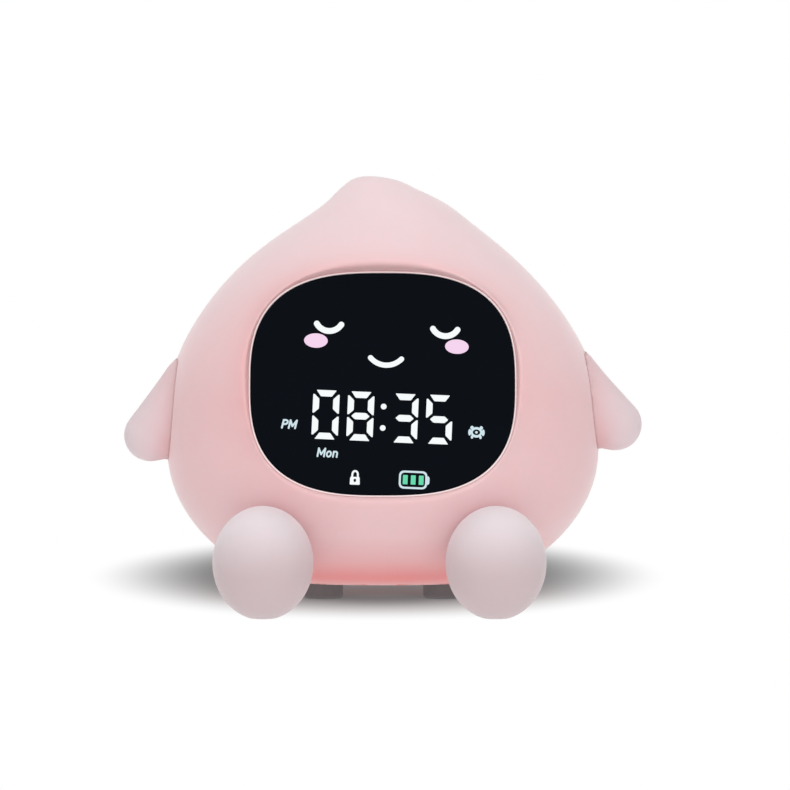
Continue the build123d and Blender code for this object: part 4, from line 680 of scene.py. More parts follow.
def plates(shapes, low, high):
    """Points and faces of a thin plate for each outline, and of a thin ring for each pair of outlines."""
    points, faces, start = [], [], 0
    for shape in shapes:
        spots, corners = flat_ring(*shape, low, high) if isinstance(shape, tuple) else flat_solid(shape, low, high)
        points.append(spots)
        faces += [[corner + start for corner in face] for face in corners]
        start += len(spots)
    return np.concatenate(points), faces


def in_window(points):
    """Places in space of mark points, given in millimetres in the rolled plane of the window."""
    cosine, sine = np.cos(MARKS_ROLL), np.sin(MARKS_ROLL)
    flat = np.stack([points[:, 0] * cosine - points[:, 1] * sine, points[:, 0] * sine + points[:, 1] * cosine], axis=-1)
    return on_plane(WINDOW, flat * MM, points[:, 2] * MM)


def digit_shapes(figure, middle):
    """The bars of one figure, with softened corners."""
    return [rounded(BARS[bar], BAR_ROUND) + middle for bar in DIGIT_BARS[figure]]


LOCK_SPOT = np.array((-6.2, -25.45))
LOCK_BODY = np.array(((1.24, 0.15), (-1.24, 0.15), (-1.34, -1.95), (1.34, -1.95)))
LOCK_ROUND = 0.3
KEYHOLE_SPOT = (0.0, -0.78)
KEYHOLE_HALF = (0.34, 0.46)
SHACKLE_SPOT = (0.0, 0.83)
SHACKLE_HALF = (0.72, 0.88)
SHACKLE_FEET = np.array(((0.76, 0.1), (-0.76, 0.1)))
SHACKLE_WIDTH = 0.52
FINE_STEPS = 10


def lock_shapes():
    """Closed padlock: a body with a keyhole and a round shackle."""
    outer = rounded(LOCK_SPOT + LOCK_BODY, LOCK_ROUND, FINE_STEPS)
    hole = np.roll(ellipse(LOCK_SPOT + KEYHOLE_SPOT, KEYHOLE_HALF, len(outer)), -FINE_STEPS // 2, axis=0)
    bow = bowl(LOCK_SPOT + SHACKLE_SPOT, SHACKLE_HALF, 0, 180, 16)
    first, last = LOCK_SPOT + SHACKLE_FEET
    return [(outer, hole), stroke(np.stack([first, *bow, last])[::-1], SHACKLE_WIDTH, 3)]


BATTERY_SPOT = np.array((9.33, -25.46))
BATTERY_CASE = np.array(((3.6, 2.42), (-3.9, 2.42), (-3.9, -2.42), (3.6, -2.42)))
BATTERY_WALL = 0.52
BATTERY_ROUND = (1.5, 1.1)
BATTERY_NUB = np.array(((4.2, 0.85), (3.62, 1.3), (3.62, -1.3), (4.2, -0.85)))
NUB_ROUND = 0.3
CHARGE_BAR = np.array(((0.64, 1.24), (-0.64, 1.24), (-0.64, -1.24), (0.64, -1.24)))
CHARGE_ROUND = 0.15
CHARGE_PLACES = (-2.21, -0.1, 2.01)


def battery_case():
    """Outline of the charge sign with its nub at the right."""
    outer = rounded(BATTERY_SPOT + BATTERY_CASE, BATTERY_ROUND[0], FINE_STEPS)
    within = BATTERY_CASE - np.sign(BATTERY_CASE) * BATTERY_WALL
    inner = rounded(BATTERY_SPOT + within, BATTERY_ROUND[1], FINE_STEPS)
    return [(outer, inner), rounded(BATTERY_SPOT + BATTERY_NUB, NUB_ROUND)]


def battery_bars():
    """Three bars of charge."""
    return [rounded(BATTERY_SPOT + CHARGE_BAR + (place, 0.0), CHARGE_ROUND) for place in CHARGE_PLACES]


ALARM_SPOT = np.array((25.44, -11.98))
ALARM_CASE = ((1.5, 1.42), (0.98, 0.76))
ALARM_HUB = (0.36, 0.34)
# Half sizes and places of the two bells, the two legs and the wave at each side
ALARM_DOTS = (
    ((0.46, 0.5), ((-1.22, 1.2), (1.22, 1.2))),
    ((0.34, 0.46), ((-1.12, -1.3), (1.12, -1.3))),
    ((0.4, 0.88), ((-1.78, -0.05), (1.78, -0.05))),
)


def alarm_shapes():
    """Small ringing alarm clock: a round case with a hub, and the dots round it."""
    case = tuple(ellipse(ALARM_SPOT, half) for half in ALARM_CASE)
    dots = [ellipse(ALARM_SPOT + place, half) for half, places in ALARM_DOTS for place in places]
    return [case, ellipse(ALARM_SPOT, ALARM_HUB), *dots]


# Each letter's lines in a box 1 high: its width, then one path for each line
STEM = ((0.0, 0.0), (0.0, 1.0))
LETTERS = {
    "P": (0.56, STEM, np.concatenate([[(0.0, 1.0)], bowl((0.26, 0.74), (0.3, 0.26), 90, -90), [(0.0, 0.48)]])),
    "M": (0.8, STEM, ((0.0, 1.0), (0.4, 0.25)), ((0.4, 0.25), (0.8, 1.0)), ((0.8, 1.0), (0.8, 0.0))),
    "o": (0.5, bowl((0.25, 0.33), (0.25, 0.33), 0, 360, 28)),
    "n": (0.46, ((0.0, 0.0), (0.0, 0.66)), np.concatenate([bowl((0.23, 0.42), (0.23, 0.24), 180, 0), [(0.46, 0.0)]])),
    "O": (0.72, bowl((0.36, 0.5), (0.36, 0.5), 0, 360, 28)),
    "N": (0.66, STEM, ((0.0, 1.0), (0.66, 0.0)), ((0.66, 0.0), (0.66, 1.0))),
    "F": (0.52, STEM, ((0.0, 1.0), (0.52, 1.0)), ((0.0, 0.52), (0.42, 0.52))),
}
LETTER_SPACE = 0.3
STRAIGHT_POINTS = 4         # a straight line gets these, so that its ends stay round when it leans
# Text, middle, height, line width and lean
WORDS = (("PM", (-24.22, -11.93), 2.1, 0.5, 0.2), ("Mon", (-13.71, -19.13), 2.15, 0.46, 0.14))


def word_shapes(text, middle, height, width, lean):
    """A word set in round-ended lines, centred on its middle and leaning to the right."""
    reach = sum(LETTERS[letter][0] for letter in text) + LETTER_SPACE * (len(text) - 1)
    start = np.array((-reach / 2, -0.5))
    shapes = []
    for letter in text:
        for path in LETTERS[letter][1:]:
            line = np.asarray(path, float)
            if len(line) == 2:
                line = line[0] + (line[1] - line[0]) * np.linspace(0.0, 1.0, STRAIGHT_POINTS)[:, None]
            line = (line + start) * height
            line[:, 0] += line[:, 1] * lean
            shapes.append(stroke(line + middle, width))
        start[0] += LETTERS[letter][0] + LETTER_SPACE
    return shapes


class CLOCK_OT_marks(bpy.types.Operator):
    """Lit marks in the window: time, sleepy face, day, lock, charge and alarm signs."""
    bl_idname = "night_clock.marks"
    bl_label = "Lit Marks"

    def execute(self, context):
        time = [shape for figure, middle in DIGITS for shape in digit_shapes(figure, middle)]
        time += [ellipse(spot, (COLON_RADIUS, COLON_RADIUS)) for spot in COLON]
        face = [stroke(hanging_arc(*eye), EYE_WIDTH) for eye in EYES] + [stroke(hanging_arc(*MOUTH), MOUTH_WIDTH)]
        cheeks = [ellipse(spot, CHEEK_HALF) for spot in CHEEKS]
        marks = [
            ("lit_time", time, "lit_white"), ("lit_face", face, "lit_white"), ("lit_cheeks", cheeks, "lit_pink"),
            ("lit_lock", lock_shapes(), "lit_white"), ("lit_charge_case", battery_case(), "lit_pale_blue"),
            ("lit_charge_bars", battery_bars(), "lit_green"), ("lit_alarm", alarm_shapes(), "lit_pale_blue"),
        ]
        marks += [("lit_word_" + text, word_shapes(text, *setting), "lit_pale_blue") for text, *setting in WORDS]
        high = MARK_LIFT + context.scene.night_clock_sizes.mark_height / MM
        for name, shapes, material in marks:
            points, faces = plates(shapes, MARK_LIFT, high)
            piece = new_piece(name, in_window(points), faces, finish(material), smooth=False)
            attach(piece, ROOT)
        return {"FINISHED"}


# ---------------------------------------------------------------------------
# Finishes

def add_node(tree, kind, inputs=None, **settings):
    """Add a node, set its properties, and set or link its inputs by name or number."""
    node = tree.nodes.new(kind)
    for name, value in settings.items():
        setattr(node, name, value)
    for name, value in (inputs or {}).items():
        if isinstance(value, bpy.types.NodeSocket):
            tree.links.new(value, node.inputs[name])
        else:
            node.inputs[name].default_value = value
    return node


def bare_tree(block):
    """The emptied node tree of a new material or world."""
    block.use_nodes = True
    block.node_tree.nodes.clear()
    return block.node_tree


def opaque(colour):
    """A colour, as sRGB hex or in linear values, with full alpha."""
    return (*(linear(colour) if isinstance(colour, str) else colour[:3]), 1.0)


MOTTLE_DETAIL = 3.0
GRAIN_DETAIL = 2.0
BUMP_STRENGTH = 0.6
TINT_STIR = 0.04


def surface(name, pale, deep, mottle_mm, grain_mm, rough, rough_spread, bump_mm, share=None, **shader):
    """A Principled finish: two colours in a soft mottle, a fine grain in roughness and in a shallow bump.

    In order: the two colours, the widths of mottle and grain, the roughness and how far it strays, and the bump's
    depth. Where share names an attribute, the second colour follows that and the mottle only stirs it.
    """
    material = bpy.data.materials.new(name)
    tree = bare_tree(material)
    place = add_node(tree, "ShaderNodeTexCoord").outputs["Object"]
    mottle, grain = (
        add_node(tree, "ShaderNodeTexNoise", {"Vector": place, "Scale": 1.0 / (width * MM), "Detail": detail})
        for width, detail in ((mottle_mm, MOTTLE_DETAIL), (grain_mm, GRAIN_DETAIL))
    )
    factor = mottle.outputs["Fac"]
    if share is not None:
        own = add_node(tree, "ShaderNodeAttribute", attribute_name=share).outputs["Fac"]
        stir = add_node(tree, "ShaderNodeMapRange", {"Value": factor, "To Min": -TINT_STIR, "To Max": TINT_STIR})
        factor = add_node(tree, "ShaderNodeMath", {0: own, 1: stir.outputs["Result"]}, operation="ADD").outputs[0]
    colour = add_node(
        tree, "ShaderNodeMix", {"Factor": factor, "A": opaque(pale), "B": opaque(deep)}, data_type="RGBA",
    )
    gloss = add_node(tree, "ShaderNodeMapRange", {
        "Value": grain.outputs["Fac"], "To Min": rough - rough_spread, "To Max": rough + rough_spread,
    })
    bump = add_node(tree, "ShaderNodeBump", {
        "Height": grain.outputs["Fac"], "Strength": BUMP_STRENGTH, "Distance": bump_mm * MM,
    })
    settings = {
        "Base Color": colour.outputs["Result"], "Roughness": gloss.outputs["Result"], "Normal": bump.outputs["Normal"],
    }
    # subsurface_weight sets the input Subsurface Weight, and so on
    settings.update({key.replace("_", " ").title().replace("Ior", "IOR"): value for key, value in shader.items()})
    principled = add_node(tree, "ShaderNodeBsdfPrincipled", settings)
    add_node(tree, "ShaderNodeOutputMaterial", {"Surface": principled.outputs[0]})
    return material


def colours():
    """The colours set in the sidebar."""
    return bpy.context.scene.night_clock_colours


def pink_silicone():
    """Moulded soft-touch silicone: satin, faintly downy at grazing angles, with light soaking in; its deep colour is
    painted shade, low down and beside the window.
    """
    return surface(
        "soft_touch_silicone", colours().cover_pale, colours().cover_shaded, 9.0, 0.35, 0.52, 0.05, 0.012, "tint",
        subsurface_weight=0.38, subsurface_radius=(1.0, 0.55, 0.5), subsurface_scale=0.005,
        sheen_weight=0.5, sheen_roughness=0.35, specular_ior_level=0.35,
    )


def frosted_silicone():
    """Moulded frosted silicone: milky and grey-pink, so that light goes deep and its edges stay pale."""
    return surface(
        "frosted_silicone", colours().frosted_pale, colours().frosted_deep, 7.0, 0.4, 0.48, 0.06, 0.012, "tint",
        subsurface_weight=0.45, subsurface_radius=(1.0, 0.75, 0.75), subsurface_scale=0.006,
        sheen_weight=0.08, sheen_roughness=0.5, specular_ior_level=0.4,
    )


def frosted_foot():
    """Frosted silicone again, thicker in the feet; painted shade greys it low down, where less light falls."""
    return surface(
        "thick_frosted_silicone", colours().foot_lit, colours().foot_shaded, 7.0, 0.4, 0.48, 0.06, 0.012, "tint",
        subsurface_weight=0.35, subsurface_radius=(1.0, 0.75, 0.75), subsurface_scale=0.005,
        sheen_weight=0.15, sheen_roughness=0.45, specular_ior_level=0.4,
    )


def milky_core():
    """Moulded milky polypropylene, which passes the night light evenly."""
    return surface("milky_polypropylene", "#f1eeea", "#e8e4df", 12.0, 0.5, 0.45, 0.05, 0.01,
                   subsurface_weight=0.3, subsurface_radius=(1.0, 1.0, 0.95), subsurface_scale=0.005)


def rim_plastic():
    """Moulded glossy ABS in pale pink-white."""
    return surface("pale_gloss_abs", colours().rim, "#f2dcdc", 6.0, 0.3, 0.3, 0.04, 0.004)


def smoked_lens():
    """Cast smoked acrylic with a soft anti-glare coat: near black, tinged with blue."""
    return surface("smoked_acrylic", colours().lens, "#060a11", 16.0, 0.12, 0.22, 0.03, 0.001,
                   specular_ior_level=0.03)


def tape_foam():
    """Die-cut black foam tape."""
    return surface("foam_tape", "#1d1d1f", "#151516", 4.0, 0.3, 0.85, 0.05, 0.05)


def film_black():
    """Screen-printed black polyester film."""
    return surface("printed_film", "#101113", "#15161a", 8.0, 0.2, 0.4, 0.05, 0.002)


def white_plastic():
    """Moulded white ABS with a fine spark-eroded texture."""
    return surface("white_abs", "#efeeec", "#e6e4e1", 10.0, 0.45, 0.5, 0.06, 0.015)


def board_laminate():
    """Glass-epoxy circuit board under green solder mask."""
    return surface("circuit_board", "#1f5c3c", "#2a6f49", 5.0, 0.5, 0.38, 0.06, 0.01)


def lamp_chip():
    """Epoxy lamp chips over a yellow phosphor."""
    return surface("lamp_epoxy", "#f3e6a8", "#eadb8f", 1.5, 0.2, 0.3, 0.05, 0.005)


def screw_steel():
    """Zinc-plated pressed steel."""
    return surface("zinc_plated_steel", "#b9bcc0", "#a4a7ac", 2.0, 0.15, 0.34, 0.08, 0.004,
                   metallic=1.0)


def panel_plastic():
    """Moulded pale pink ABS with a fine spark-eroded texture."""
    return surface("pink_abs", colours().panel, "#e4c6c6", 10.0, 0.4, 0.5, 0.06, 0.015)


def key_plastic():
    """Moulded white ABS keys, rubbed smooth on their tops."""
    return surface("key_abs", colours().key, "#ece7e5", 6.0, 0.3, 0.38, 0.05, 0.006)


def bumper_rubber():
    """Grey moulded rubber, made dark as painted shade, so that the bumpers pass for the shadow under the body."""
    return surface("bumper_rubber", "#6f6a6b", "#676263", 3.0, 0.3, 0.75, 0.06, 0.02)


def switch_black():
    """Glass-filled black nylon."""
    return surface("black_nylon", "#1b1c1e", "#242527", 3.0, 0.25, 0.5, 0.08, 0.012)


def socket_steel():
    """Nickel-plated rolled steel."""
    return surface("nickel_plated_steel", "#c9c6bf", "#b8b5ae", 2.0, 0.12, 0.26, 0.06, 0.003,
                   metallic=1.0)


def cone_paper():
    """Pressed black paper pulp."""
    return surface("pressed_paper", "#252321", "#302d2a", 2.0, 0.25, 0.9, 0.04, 0.04)


def cell_wrap():
    """Aluminium pouch foil under clear film."""
    return surface("pouch_foil", "#b4b8bd", "#9ea3a9", 5.0, 0.4, 0.3, 0.08, 0.015, metallic=0.9)


def diffuser_plastic():
    """Frosted polycarbonate."""
    return surface("frosted_polycarbonate", "#f4f2ee", "#ebe8e3", 8.0, 0.3, 0.6, 0.05, 0.01,
                   subsurface_weight=0.3, subsurface_radius=(1.0, 1.0, 1.0), subsurface_scale=0.004)


def touch_copper():
    """Rolled phosphor bronze."""
    return surface("phosphor_bronze", "#c98d5f", "#b87c50", 2.0, 0.15, 0.32, 0.08, 0.004,
                   metallic=1.0)


def ribbon_film():
    """White polyester film over flat conductors."""
    return surface("ribbon_film", "#e3e3e0", "#d8d8d4", 3.0, 0.2, 0.4, 0.05, 0.003)


def lead_vinyl():
    """Extruded red vinyl over stranded wire."""
    return surface("wire_vinyl", "#a8322f", "#96292a", 3.0, 0.2, 0.42, 0.05, 0.004)


def glow(name, colour):
    """Light from a lamp chip through a printed window: an even glow under the lens's own soft gloss."""
    return surface(name, "#0b0c10", "#0d0e13", 8.0, 0.2, 0.25, 0.03, 0.001,
                   specular_ior_level=0.1, emission_color=opaque(colour), emission_strength=1.0)


def lit_white():
    """Figures and face."""
    return glow("white_glow", colours().lit_white)


def lit_pink():
    """Cheeks."""
    return glow("pink_glow", colours().lit_pink)


def lit_green():
    """Bars of charge."""
    return glow("green_glow", colours().lit_green)


def lit_pale_blue():
    """Small signs and words."""
    return glow("pale_blue_glow", colours().lit_blue)


def print_ink():
    """Pad-printed grey ink, a little glossier than the plastic under it."""
    return surface("printed_ink", "#8f7f82", "#86767a", 3.0, 0.2, 0.35, 0.05, 0.002)


MAKERS = {
    maker.__name__: maker for maker in (
        pink_silicone, frosted_silicone, frosted_foot, milky_core, rim_plastic, smoked_lens, tape_foam, film_black,
        white_plastic, board_laminate, lamp_chip, screw_steel, panel_plastic, key_plastic, bumper_rubber,
        switch_black, socket_steel, cone_paper, cell_wrap, diffuser_plastic, touch_copper, ribbon_film, lead_vinyl,
        lit_white, lit_pink, lit_green, lit_pale_blue, print_ink,
    )
}
MADE = {}


def finish(slot):
    """The finish of a material slot, made once."""
    if slot not in MADE:
        MADE[slot] = MAKERS[slot]()
    return MADE[slot]


class CLOCK_OT_finishes(bpy.types.Operator):
    """Give every piece of the frame its finish by its material slot."""
    bl_idname = "night_clock.finishes"
    bl_label = "Frame Finishes"

    def execute(self, context):
        for part in frame["record"]["subparts"]:
            for slot in frame["nodes"][part["node"]].material_slots:
                slot.material = finish(part["material_slot"])
        return {"FINISHED"}


# ---------------------------------------------------------------------------
# Signs on the back

# In millimetres: the hollow in each key's top, and the ink's lowest and highest level over what it is printed on
KEY_DISH = 14.0
KEY_DISH_DEPTH = 0.35
KEY_TOP = 1.6
SIGN_INK = (-0.03, 0.05)
WORD_INK = (-0.02, 0.05)
BAR_SIGN = np.array(((1.5, 0.28), (-1.5, 0.28), (-1.5, -0.28), (1.5, -0.28)))
MENU_BAR = (0.9, 0.8)
MENU_STEPS = (0.95, 0.0, -0.95)
SUN_RADIUS = 0.85
SUN_RAYS = 8
RAY_ENDS = np.array(((1.35,), (1.8,)))
RAY_WIDTH = 0.34
BELL = ((1.5, -0.85), (1.0, -0.2), (0.9, 0.7), (0.45, 1.25), (-0.45, 1.25), (-0.9, 0.7), (-1.0, -0.2), (-1.5, -0.85))
BELL_ROUND = 0.2
CLAPPER = ((0.0, -1.3), (0.45, 0.3))
# Word, and how far it stands to the right of the knob as seen from behind; then height, line width and lean of both
SWITCH_WORDS = (("OFF", -7.2), ("ON", 6.6))
SWITCH_LETTERS = (1.4, 0.32, 0.0)


def key_signs():
    """Outlines of each key's sign, in millimetres from the key's middle as seen from behind."""
    rays = [stroke(RAY_ENDS * out, RAY_WIDTH, 3) for out in ellipse((0.0, 0.0), (1.0, 1.0), SUN_RAYS)]
    return {
        "plus_key": [BAR_SIGN, BAR_SIGN[::-1, ::-1]],
        "minus_key": [BAR_SIGN],
        "mode_key": [BAR_SIGN * MENU_BAR + (0.0, step) for step in MENU_STEPS],
        "light_key": [ellipse((0.0, 0.0), (SUN_RADIUS, SUN_RADIUS))] + rays,
        "alarm_key": [rounded(BELL, BELL_ROUND), ellipse(*CLAPPER)],
    }


def back_place(node):
    """Middle of a key or knob, at the level of the back panel."""
    low, high = node_box(node)
    return np.array(((low[0] + high[0]) / 2, BACK.middle[1], (low[2] + high[2]) / 2))


def on_back(middle, points, level):
    """Places in space of points seen from behind, at a level behind the panel, all in millimetres."""
    return middle + np.column_stack([-points[:, 0], level, points[:, 1]]) * MM


class CLOCK_OT_signs(bpy.types.Operator):
    """Printed signs on the five keys and the words beside the power switch."""
    bl_idname = "night_clock.signs"
    bl_label = "Key Signs"

    def execute(self, context):
        for key, outlines in key_signs().items():
            points, faces = plates(outlines, *SIGN_INK)
            # The hollow is part of a ball: it rises by the ball's radius less its height over the point
            rise = KEY_DISH - np.sqrt(KEY_DISH ** 2 - (points[:, :2] ** 2).sum(axis=1))
            level = KEY_TOP - KEY_DISH_DEPTH + rise + points[:, 2]
            sign = new_piece("sign_" + key, on_back(back_place(key), points, level), faces, finish("print_ink"),
                             smooth=False)
            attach(sign, key)
        for text, across in SWITCH_WORDS:
            points, faces = plates(word_shapes(text, (across, 0.0), *SWITCH_LETTERS), *WORD_INK)
            places = on_back(back_place("switch_knob"), points, points[:, 2])
            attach(new_piece("word_" + text, places, faces, finish("print_ink"), smooth=False), ROOT)
        return {"FINISHED"}


# ---------------------------------------------------------------------------
# Stage

FLOOR_REACH = 4.0
FLOOR_PARTS = 8
TABLE_GLOW = 0.85
PAPER = 0.9
# The painted shadow, a grey oval round the clock, and where its two eases start and end with their values there
SHADOW_MIDDLE = (-0.002, 0.1, 0.0)
SHADOW_HALF = (0.0845, 0.15, 1.0)
SHADOW_EASE = (0.52, 1.02, 0.11, 1.0)
PAINTED_SHARE_EASE = (0.6, 1.05, 0.8, 1.0)
WHITE = (1.0, 1.0, 1.0, 1.0)
WARM_WHITE = (1.0, 0.99, 0.985, 1.0)
# Place and side of each soft box, and where both face
FRONT_BOX = ((0.1, -1.0, 0.55), 1.0)
TOP_BOX = ((-0.15, -0.1, 1.2), 0.9)
BOX_AIM = Vector((0.0, 0.0, 0.06))
CAMERA_HIGH = np.radians(2.5)
SENSOR_WIDTH = 36.0
FAR_CLIP = 20.0


def seen_rays(tree):
    """1 for rays of the camera, of reflections and of clear pieces, 0 for the light that fills the scene."""
    path = add_node(tree, "ShaderNodeLightPath").outputs
    seen = path["Is Camera Ray"]
    for other in ("Is Glossy Ray", "Is Transmission Ray"):
        seen = add_node(tree, "ShaderNodeMath", {0: seen, 1: path[other]}, operation="MAXIMUM").outputs[0]
    return seen


def stage_floor():
    """Lit white table: a painted shadow, a soft grey oval round the clock, laid over its real shading, and glowing a
    little up at it.
    """
    material = bpy.data.materials.new("light_table")
    tree = bare_tree(material)
    place = add_node(tree, "ShaderNodeTexCoord").outputs["Object"]
    for operation, operand in (("SUBTRACT", SHADOW_MIDDLE), ("DIVIDE", SHADOW_HALF)):
        place = add_node(tree, "ShaderNodeVectorMath", {0: place, 1: operand}, operation=operation).outputs[0]
    reach = add_node(tree, "ShaderNodeVectorMath", {0: place}, operation="LENGTH").outputs["Value"]
    # Painted shadow: how dark the floor is painted across the oval, and how much of it covers the paper's real shading
    painted_shadow, painted_share = (
        add_node(tree, "ShaderNodeMapRange", {
            "Value": reach, **dict(zip(("From Min", "From Max", "To Min", "To Max"), ease)),
        }, interpolation_type="SMOOTHSTEP").outputs["Result"] for ease in (SHADOW_EASE, PAINTED_SHARE_EASE)
    )
    paper = add_node(tree, "ShaderNodeBsdfDiffuse", {"Color": (PAPER, PAPER, PAPER, 1.0)}).outputs[0]
    # The painted shadow, as the floor's glow for the camera and reflections
    looks = add_node(tree, "ShaderNodeEmission", {"Color": WHITE, "Strength": painted_shadow}).outputs[0]
    fills = add_node(tree, "ShaderNodeEmission", {"Color": WHITE, "Strength": 1.0}).outputs[0]
    seen = add_node(tree, "ShaderNodeMixShader", {"Fac": painted_share, 1: paper, 2: looks}).outputs[0]
    unseen = add_node(tree, "ShaderNodeMixShader", {"Fac": TABLE_GLOW, 1: paper, 2: fills}).outputs[0]
    mix = add_node(tree, "ShaderNodeMixShader", {"Fac": seen_rays(tree), 1: unseen, 2: seen})
    add_node(tree, "ShaderNodeOutputMaterial", {"Surface": mix.outputs[0]})
    across = FLOOR_PARTS + 1
    x, y = np.meshgrid(*[np.linspace(-FLOOR_REACH, FLOOR_REACH, across)] * 2)
    row, column = np.meshgrid(np.arange(FLOOR_PARTS), np.arange(FLOOR_PARTS), indexing="ij")
    first = row * across + column
    faces = np.stack([first, first + 1, first + across + 1, first + across], axis=-1).reshape(-1, 4)
    floor = new_piece("studio_floor", np.stack([x, y, np.zeros_like(x)], axis=-1), faces.tolist(), material)


def backdrop_world(context, strength):
    """Even pale light from all round, and pure white where the camera or a reflection looks past the clock."""
    world = bpy.data.worlds.new("studio_world")
    tree = bare_tree(world)
    soft = add_node(tree, "ShaderNodeBackground", {"Color": WARM_WHITE, "Strength": strength})
    white = add_node(tree, "ShaderNodeBackground", {"Color": WHITE, "Strength": 1.0})
    mix = add_node(tree, "ShaderNodeMixShader", {"Fac": seen_rays(tree), 1: soft.outputs[0], 2: white.outputs[0]})
    add_node(tree, "ShaderNodeOutputWorld", {"Surface": mix.outputs[0]})
    context.scene.world = world


def soft_box(context, name, place, size, power):
    """A square soft box that faces the clock's middle and shows in no reflection."""
    lamp = bpy.data.lights.new(name, "AREA")
    lamp.energy = power
    lamp.size = size
    holder = bpy.data.objects.new(name, lamp)
    holder.visible_glossy = False
    holder.location = place
    holder.rotation_euler = (BOX_AIM - Vector(place)).to_track_quat("-Z", "Y").to_euler()
    context.scene.collection.objects.link(holder)


class CLOCK_OT_stage(bpy.types.Operator):
    """Floor, backdrop, soft light and camera."""
    bl_idname = "night_clock.stage"
    bl_label = "Stage"

    def execute(self, context):
        settings = context.scene.night_clock_stage
        stage_floor()
        backdrop_world(context, settings.ambient)
        soft_box(context, "front_soft_box", *FRONT_BOX, settings.front_power)
        soft_box(context, "top_soft_box", *TOP_BOX, settings.top_power)
        lens = bpy.data.cameras.new("product_camera")
        lens.lens = settings.focal_length
        lens.sensor_width = SENSOR_WIDTH
        lens.clip_end = FAR_CLIP
        camera = bpy.data.objects.new("product_camera", lens)
        aim = Vector((settings.aim_x, 0.0, settings.aim_z))
        back = Vector((0.0, -np.cos(CAMERA_HIGH), np.sin(CAMERA_HIGH))) * settings.camera_distance
        camera.location = aim + back
        camera.rotation_euler = (-back).to_track_quat("-Z", "Y").to_euler()
        context.scene.collection.objects.link(camera)
        context.scene.camera = camera
        context.scene.view_settings.view_transform = "Standard"
        return {"FINISHED"}


# ---------------------------------------------------------------------------
# Settings, panel and running

def length(name, description, default):
    """A length setting in metres."""
    return FloatProperty(name=name, description=description, default=default, min=0.0, unit="LENGTH",
                         subtype="DISTANCE", precision=5)


def amount(name, description, default, unit="NONE"):
    """A setting that may not be negative."""
    return FloatProperty(name=name, description=description, default=default, min=0.0, unit=unit)


def colour(name, description, code):
    """A colour setting from an sRGB hex value."""
    return FloatVectorProperty(name=name, description=description, default=linear(code), min=0.0, max=1.0, size=3,
                               subtype="COLOR")


class ClockSizes(bpy.types.PropertyGroup):
    """Sizes of the soft pieces."""
    cover_wall: length("Cover wall", "Thickness of the silicone cover", 1.1 * MM)
    window_rise: length("Window lip", "How high the cover stands 1 mm beside the window's rim", 3.8 * MM)
    panel_rise: length("Panel lip", "How high the cover stands 1 mm beside the back panel", 3.0 * MM)
    limb_rounding: length("Limb edge", "Rounding where an arm or a foot meets the body", 0.06 * MM)
    mark_height: length("Mark height", "Thickness of the lit marks on the lens", 0.05 * MM)


class ClockColours(bpy.types.PropertyGroup):
    """Colours of the finishes."""
    cover_pale: colour("Cover, pale", "Cover where the silicone is thin and lit", "#f3d2d5")
    # Painted shade: the deep pink laid on the cover low down and beside the window
    cover_shaded: colour("Cover, deep", "Cover low down and beside the window", "#ea807e")
    frosted_pale: colour("Arms, pale", "Arms towards the hand", "#d8c9cd")
    frosted_deep: colour("Arms, blush", "Arms where the body's pink shows through", "#e6b9bb")
    # Painted light and shade: the feet's tops are given a lit colour and their lower parts a shaded one
    foot_lit: colour("Feet, pale", "Tops of the feet", "#e4dade")
    foot_shaded: colour("Feet, deep", "Feet low down", "#cab7ba")
    rim: colour("Rim", "Thin rim round the window", "#f8e8e8")
    lens: colour("Lens", "Smoked window", "#05090f")
    panel: colour("Back panel", "Panel round the keys", "#ebd0d0")
    key: colour("Keys", "Push keys and slide", "#f3efee")
    lit_white: colour("White marks", "Figures and face", "#f6fafb")
    lit_pink: colour("Cheeks", "Pink marks", "#f4d3ed")
    lit_green: colour("Charge bars", "Green marks", "#66d9ab")
    lit_blue: colour("Small signs", "Pale blue marks", "#cfe3ea")


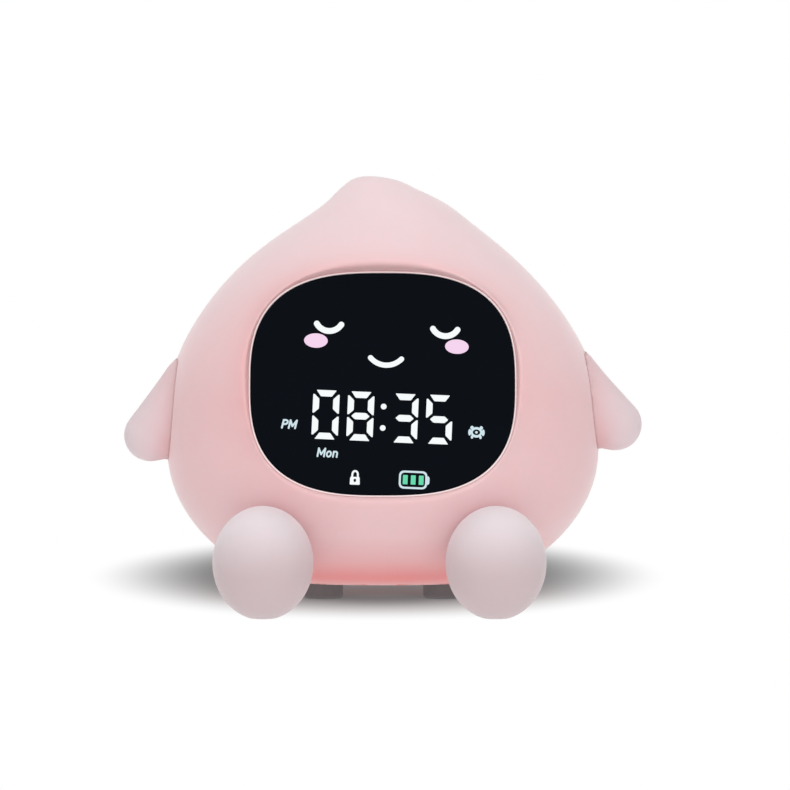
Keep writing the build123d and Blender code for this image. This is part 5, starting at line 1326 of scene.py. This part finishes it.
class ClockStage(bpy.types.PropertyGroup):
    """Light and camera."""
    ambient: amount("Ambient", "Strength of the light from all round", 0.5)
    front_power: amount("Front", "Power of the low soft box in front", 5.3, "POWER")
    top_power: amount("Top", "Power of the soft box overhead", 4.0, "POWER")
    focal_length: amount("Focal length", "Lens of the camera", 200.0, "CAMERA")
    camera_distance: length("Distance", "From the camera to the clock's middle", 1.2)
    aim_x: FloatProperty(name="Aim across", description="Where the camera looks", default=3.3 * MM, unit="LENGTH")
    aim_z: FloatProperty(name="Aim height", description="Where the camera looks", default=57.2 * MM, unit="LENGTH")


class CLOCK_PT_panel(bpy.types.Panel):
    """Lists the clock's operators and settings."""
    bl_label = "Night Clock"
    bl_idname = "CLOCK_PT_panel"
    bl_space_type = "VIEW_3D"
    bl_region_type = "UI"
    bl_category = "Night Clock"

    def draw(self, context):
        for operator in OPERATORS:
            self.layout.operator(operator.bl_idname)
        scene = context.scene
        for group in (scene.night_clock_sizes, scene.night_clock_colours, scene.night_clock_stage):
            for name in group.bl_rna.properties.keys():
                if name not in ("rna_type", "name"):
                    self.layout.prop(group, name)


OPERATORS = (
    CLOCK_OT_cover, CLOCK_OT_arms, CLOCK_OT_feet, CLOCK_OT_rim, CLOCK_OT_marks, CLOCK_OT_finishes, CLOCK_OT_signs,
    CLOCK_OT_stage,
)
CLASSES = (ClockSizes, ClockColours, ClockStage, *OPERATORS, CLOCK_PT_panel)


def register():
    for item in CLASSES:
        bpy.utils.register_class(item)
    bpy.types.Scene.night_clock_sizes = PointerProperty(type=ClockSizes)
    bpy.types.Scene.night_clock_colours = PointerProperty(type=ClockColours)
    bpy.types.Scene.night_clock_stage = PointerProperty(type=ClockStage)


def unregister():
    del bpy.types.Scene.night_clock_stage
    del bpy.types.Scene.night_clock_colours
    del bpy.types.Scene.night_clock_sizes
    for item in reversed(CLASSES):
        bpy.utils.unregister_class(item)


def main():
    register()
    for operator in OPERATORS:
        group, name = operator.bl_idname.split(".")
        getattr(getattr(bpy.ops, group), name)()


if __name__ == "__main__":
    main()
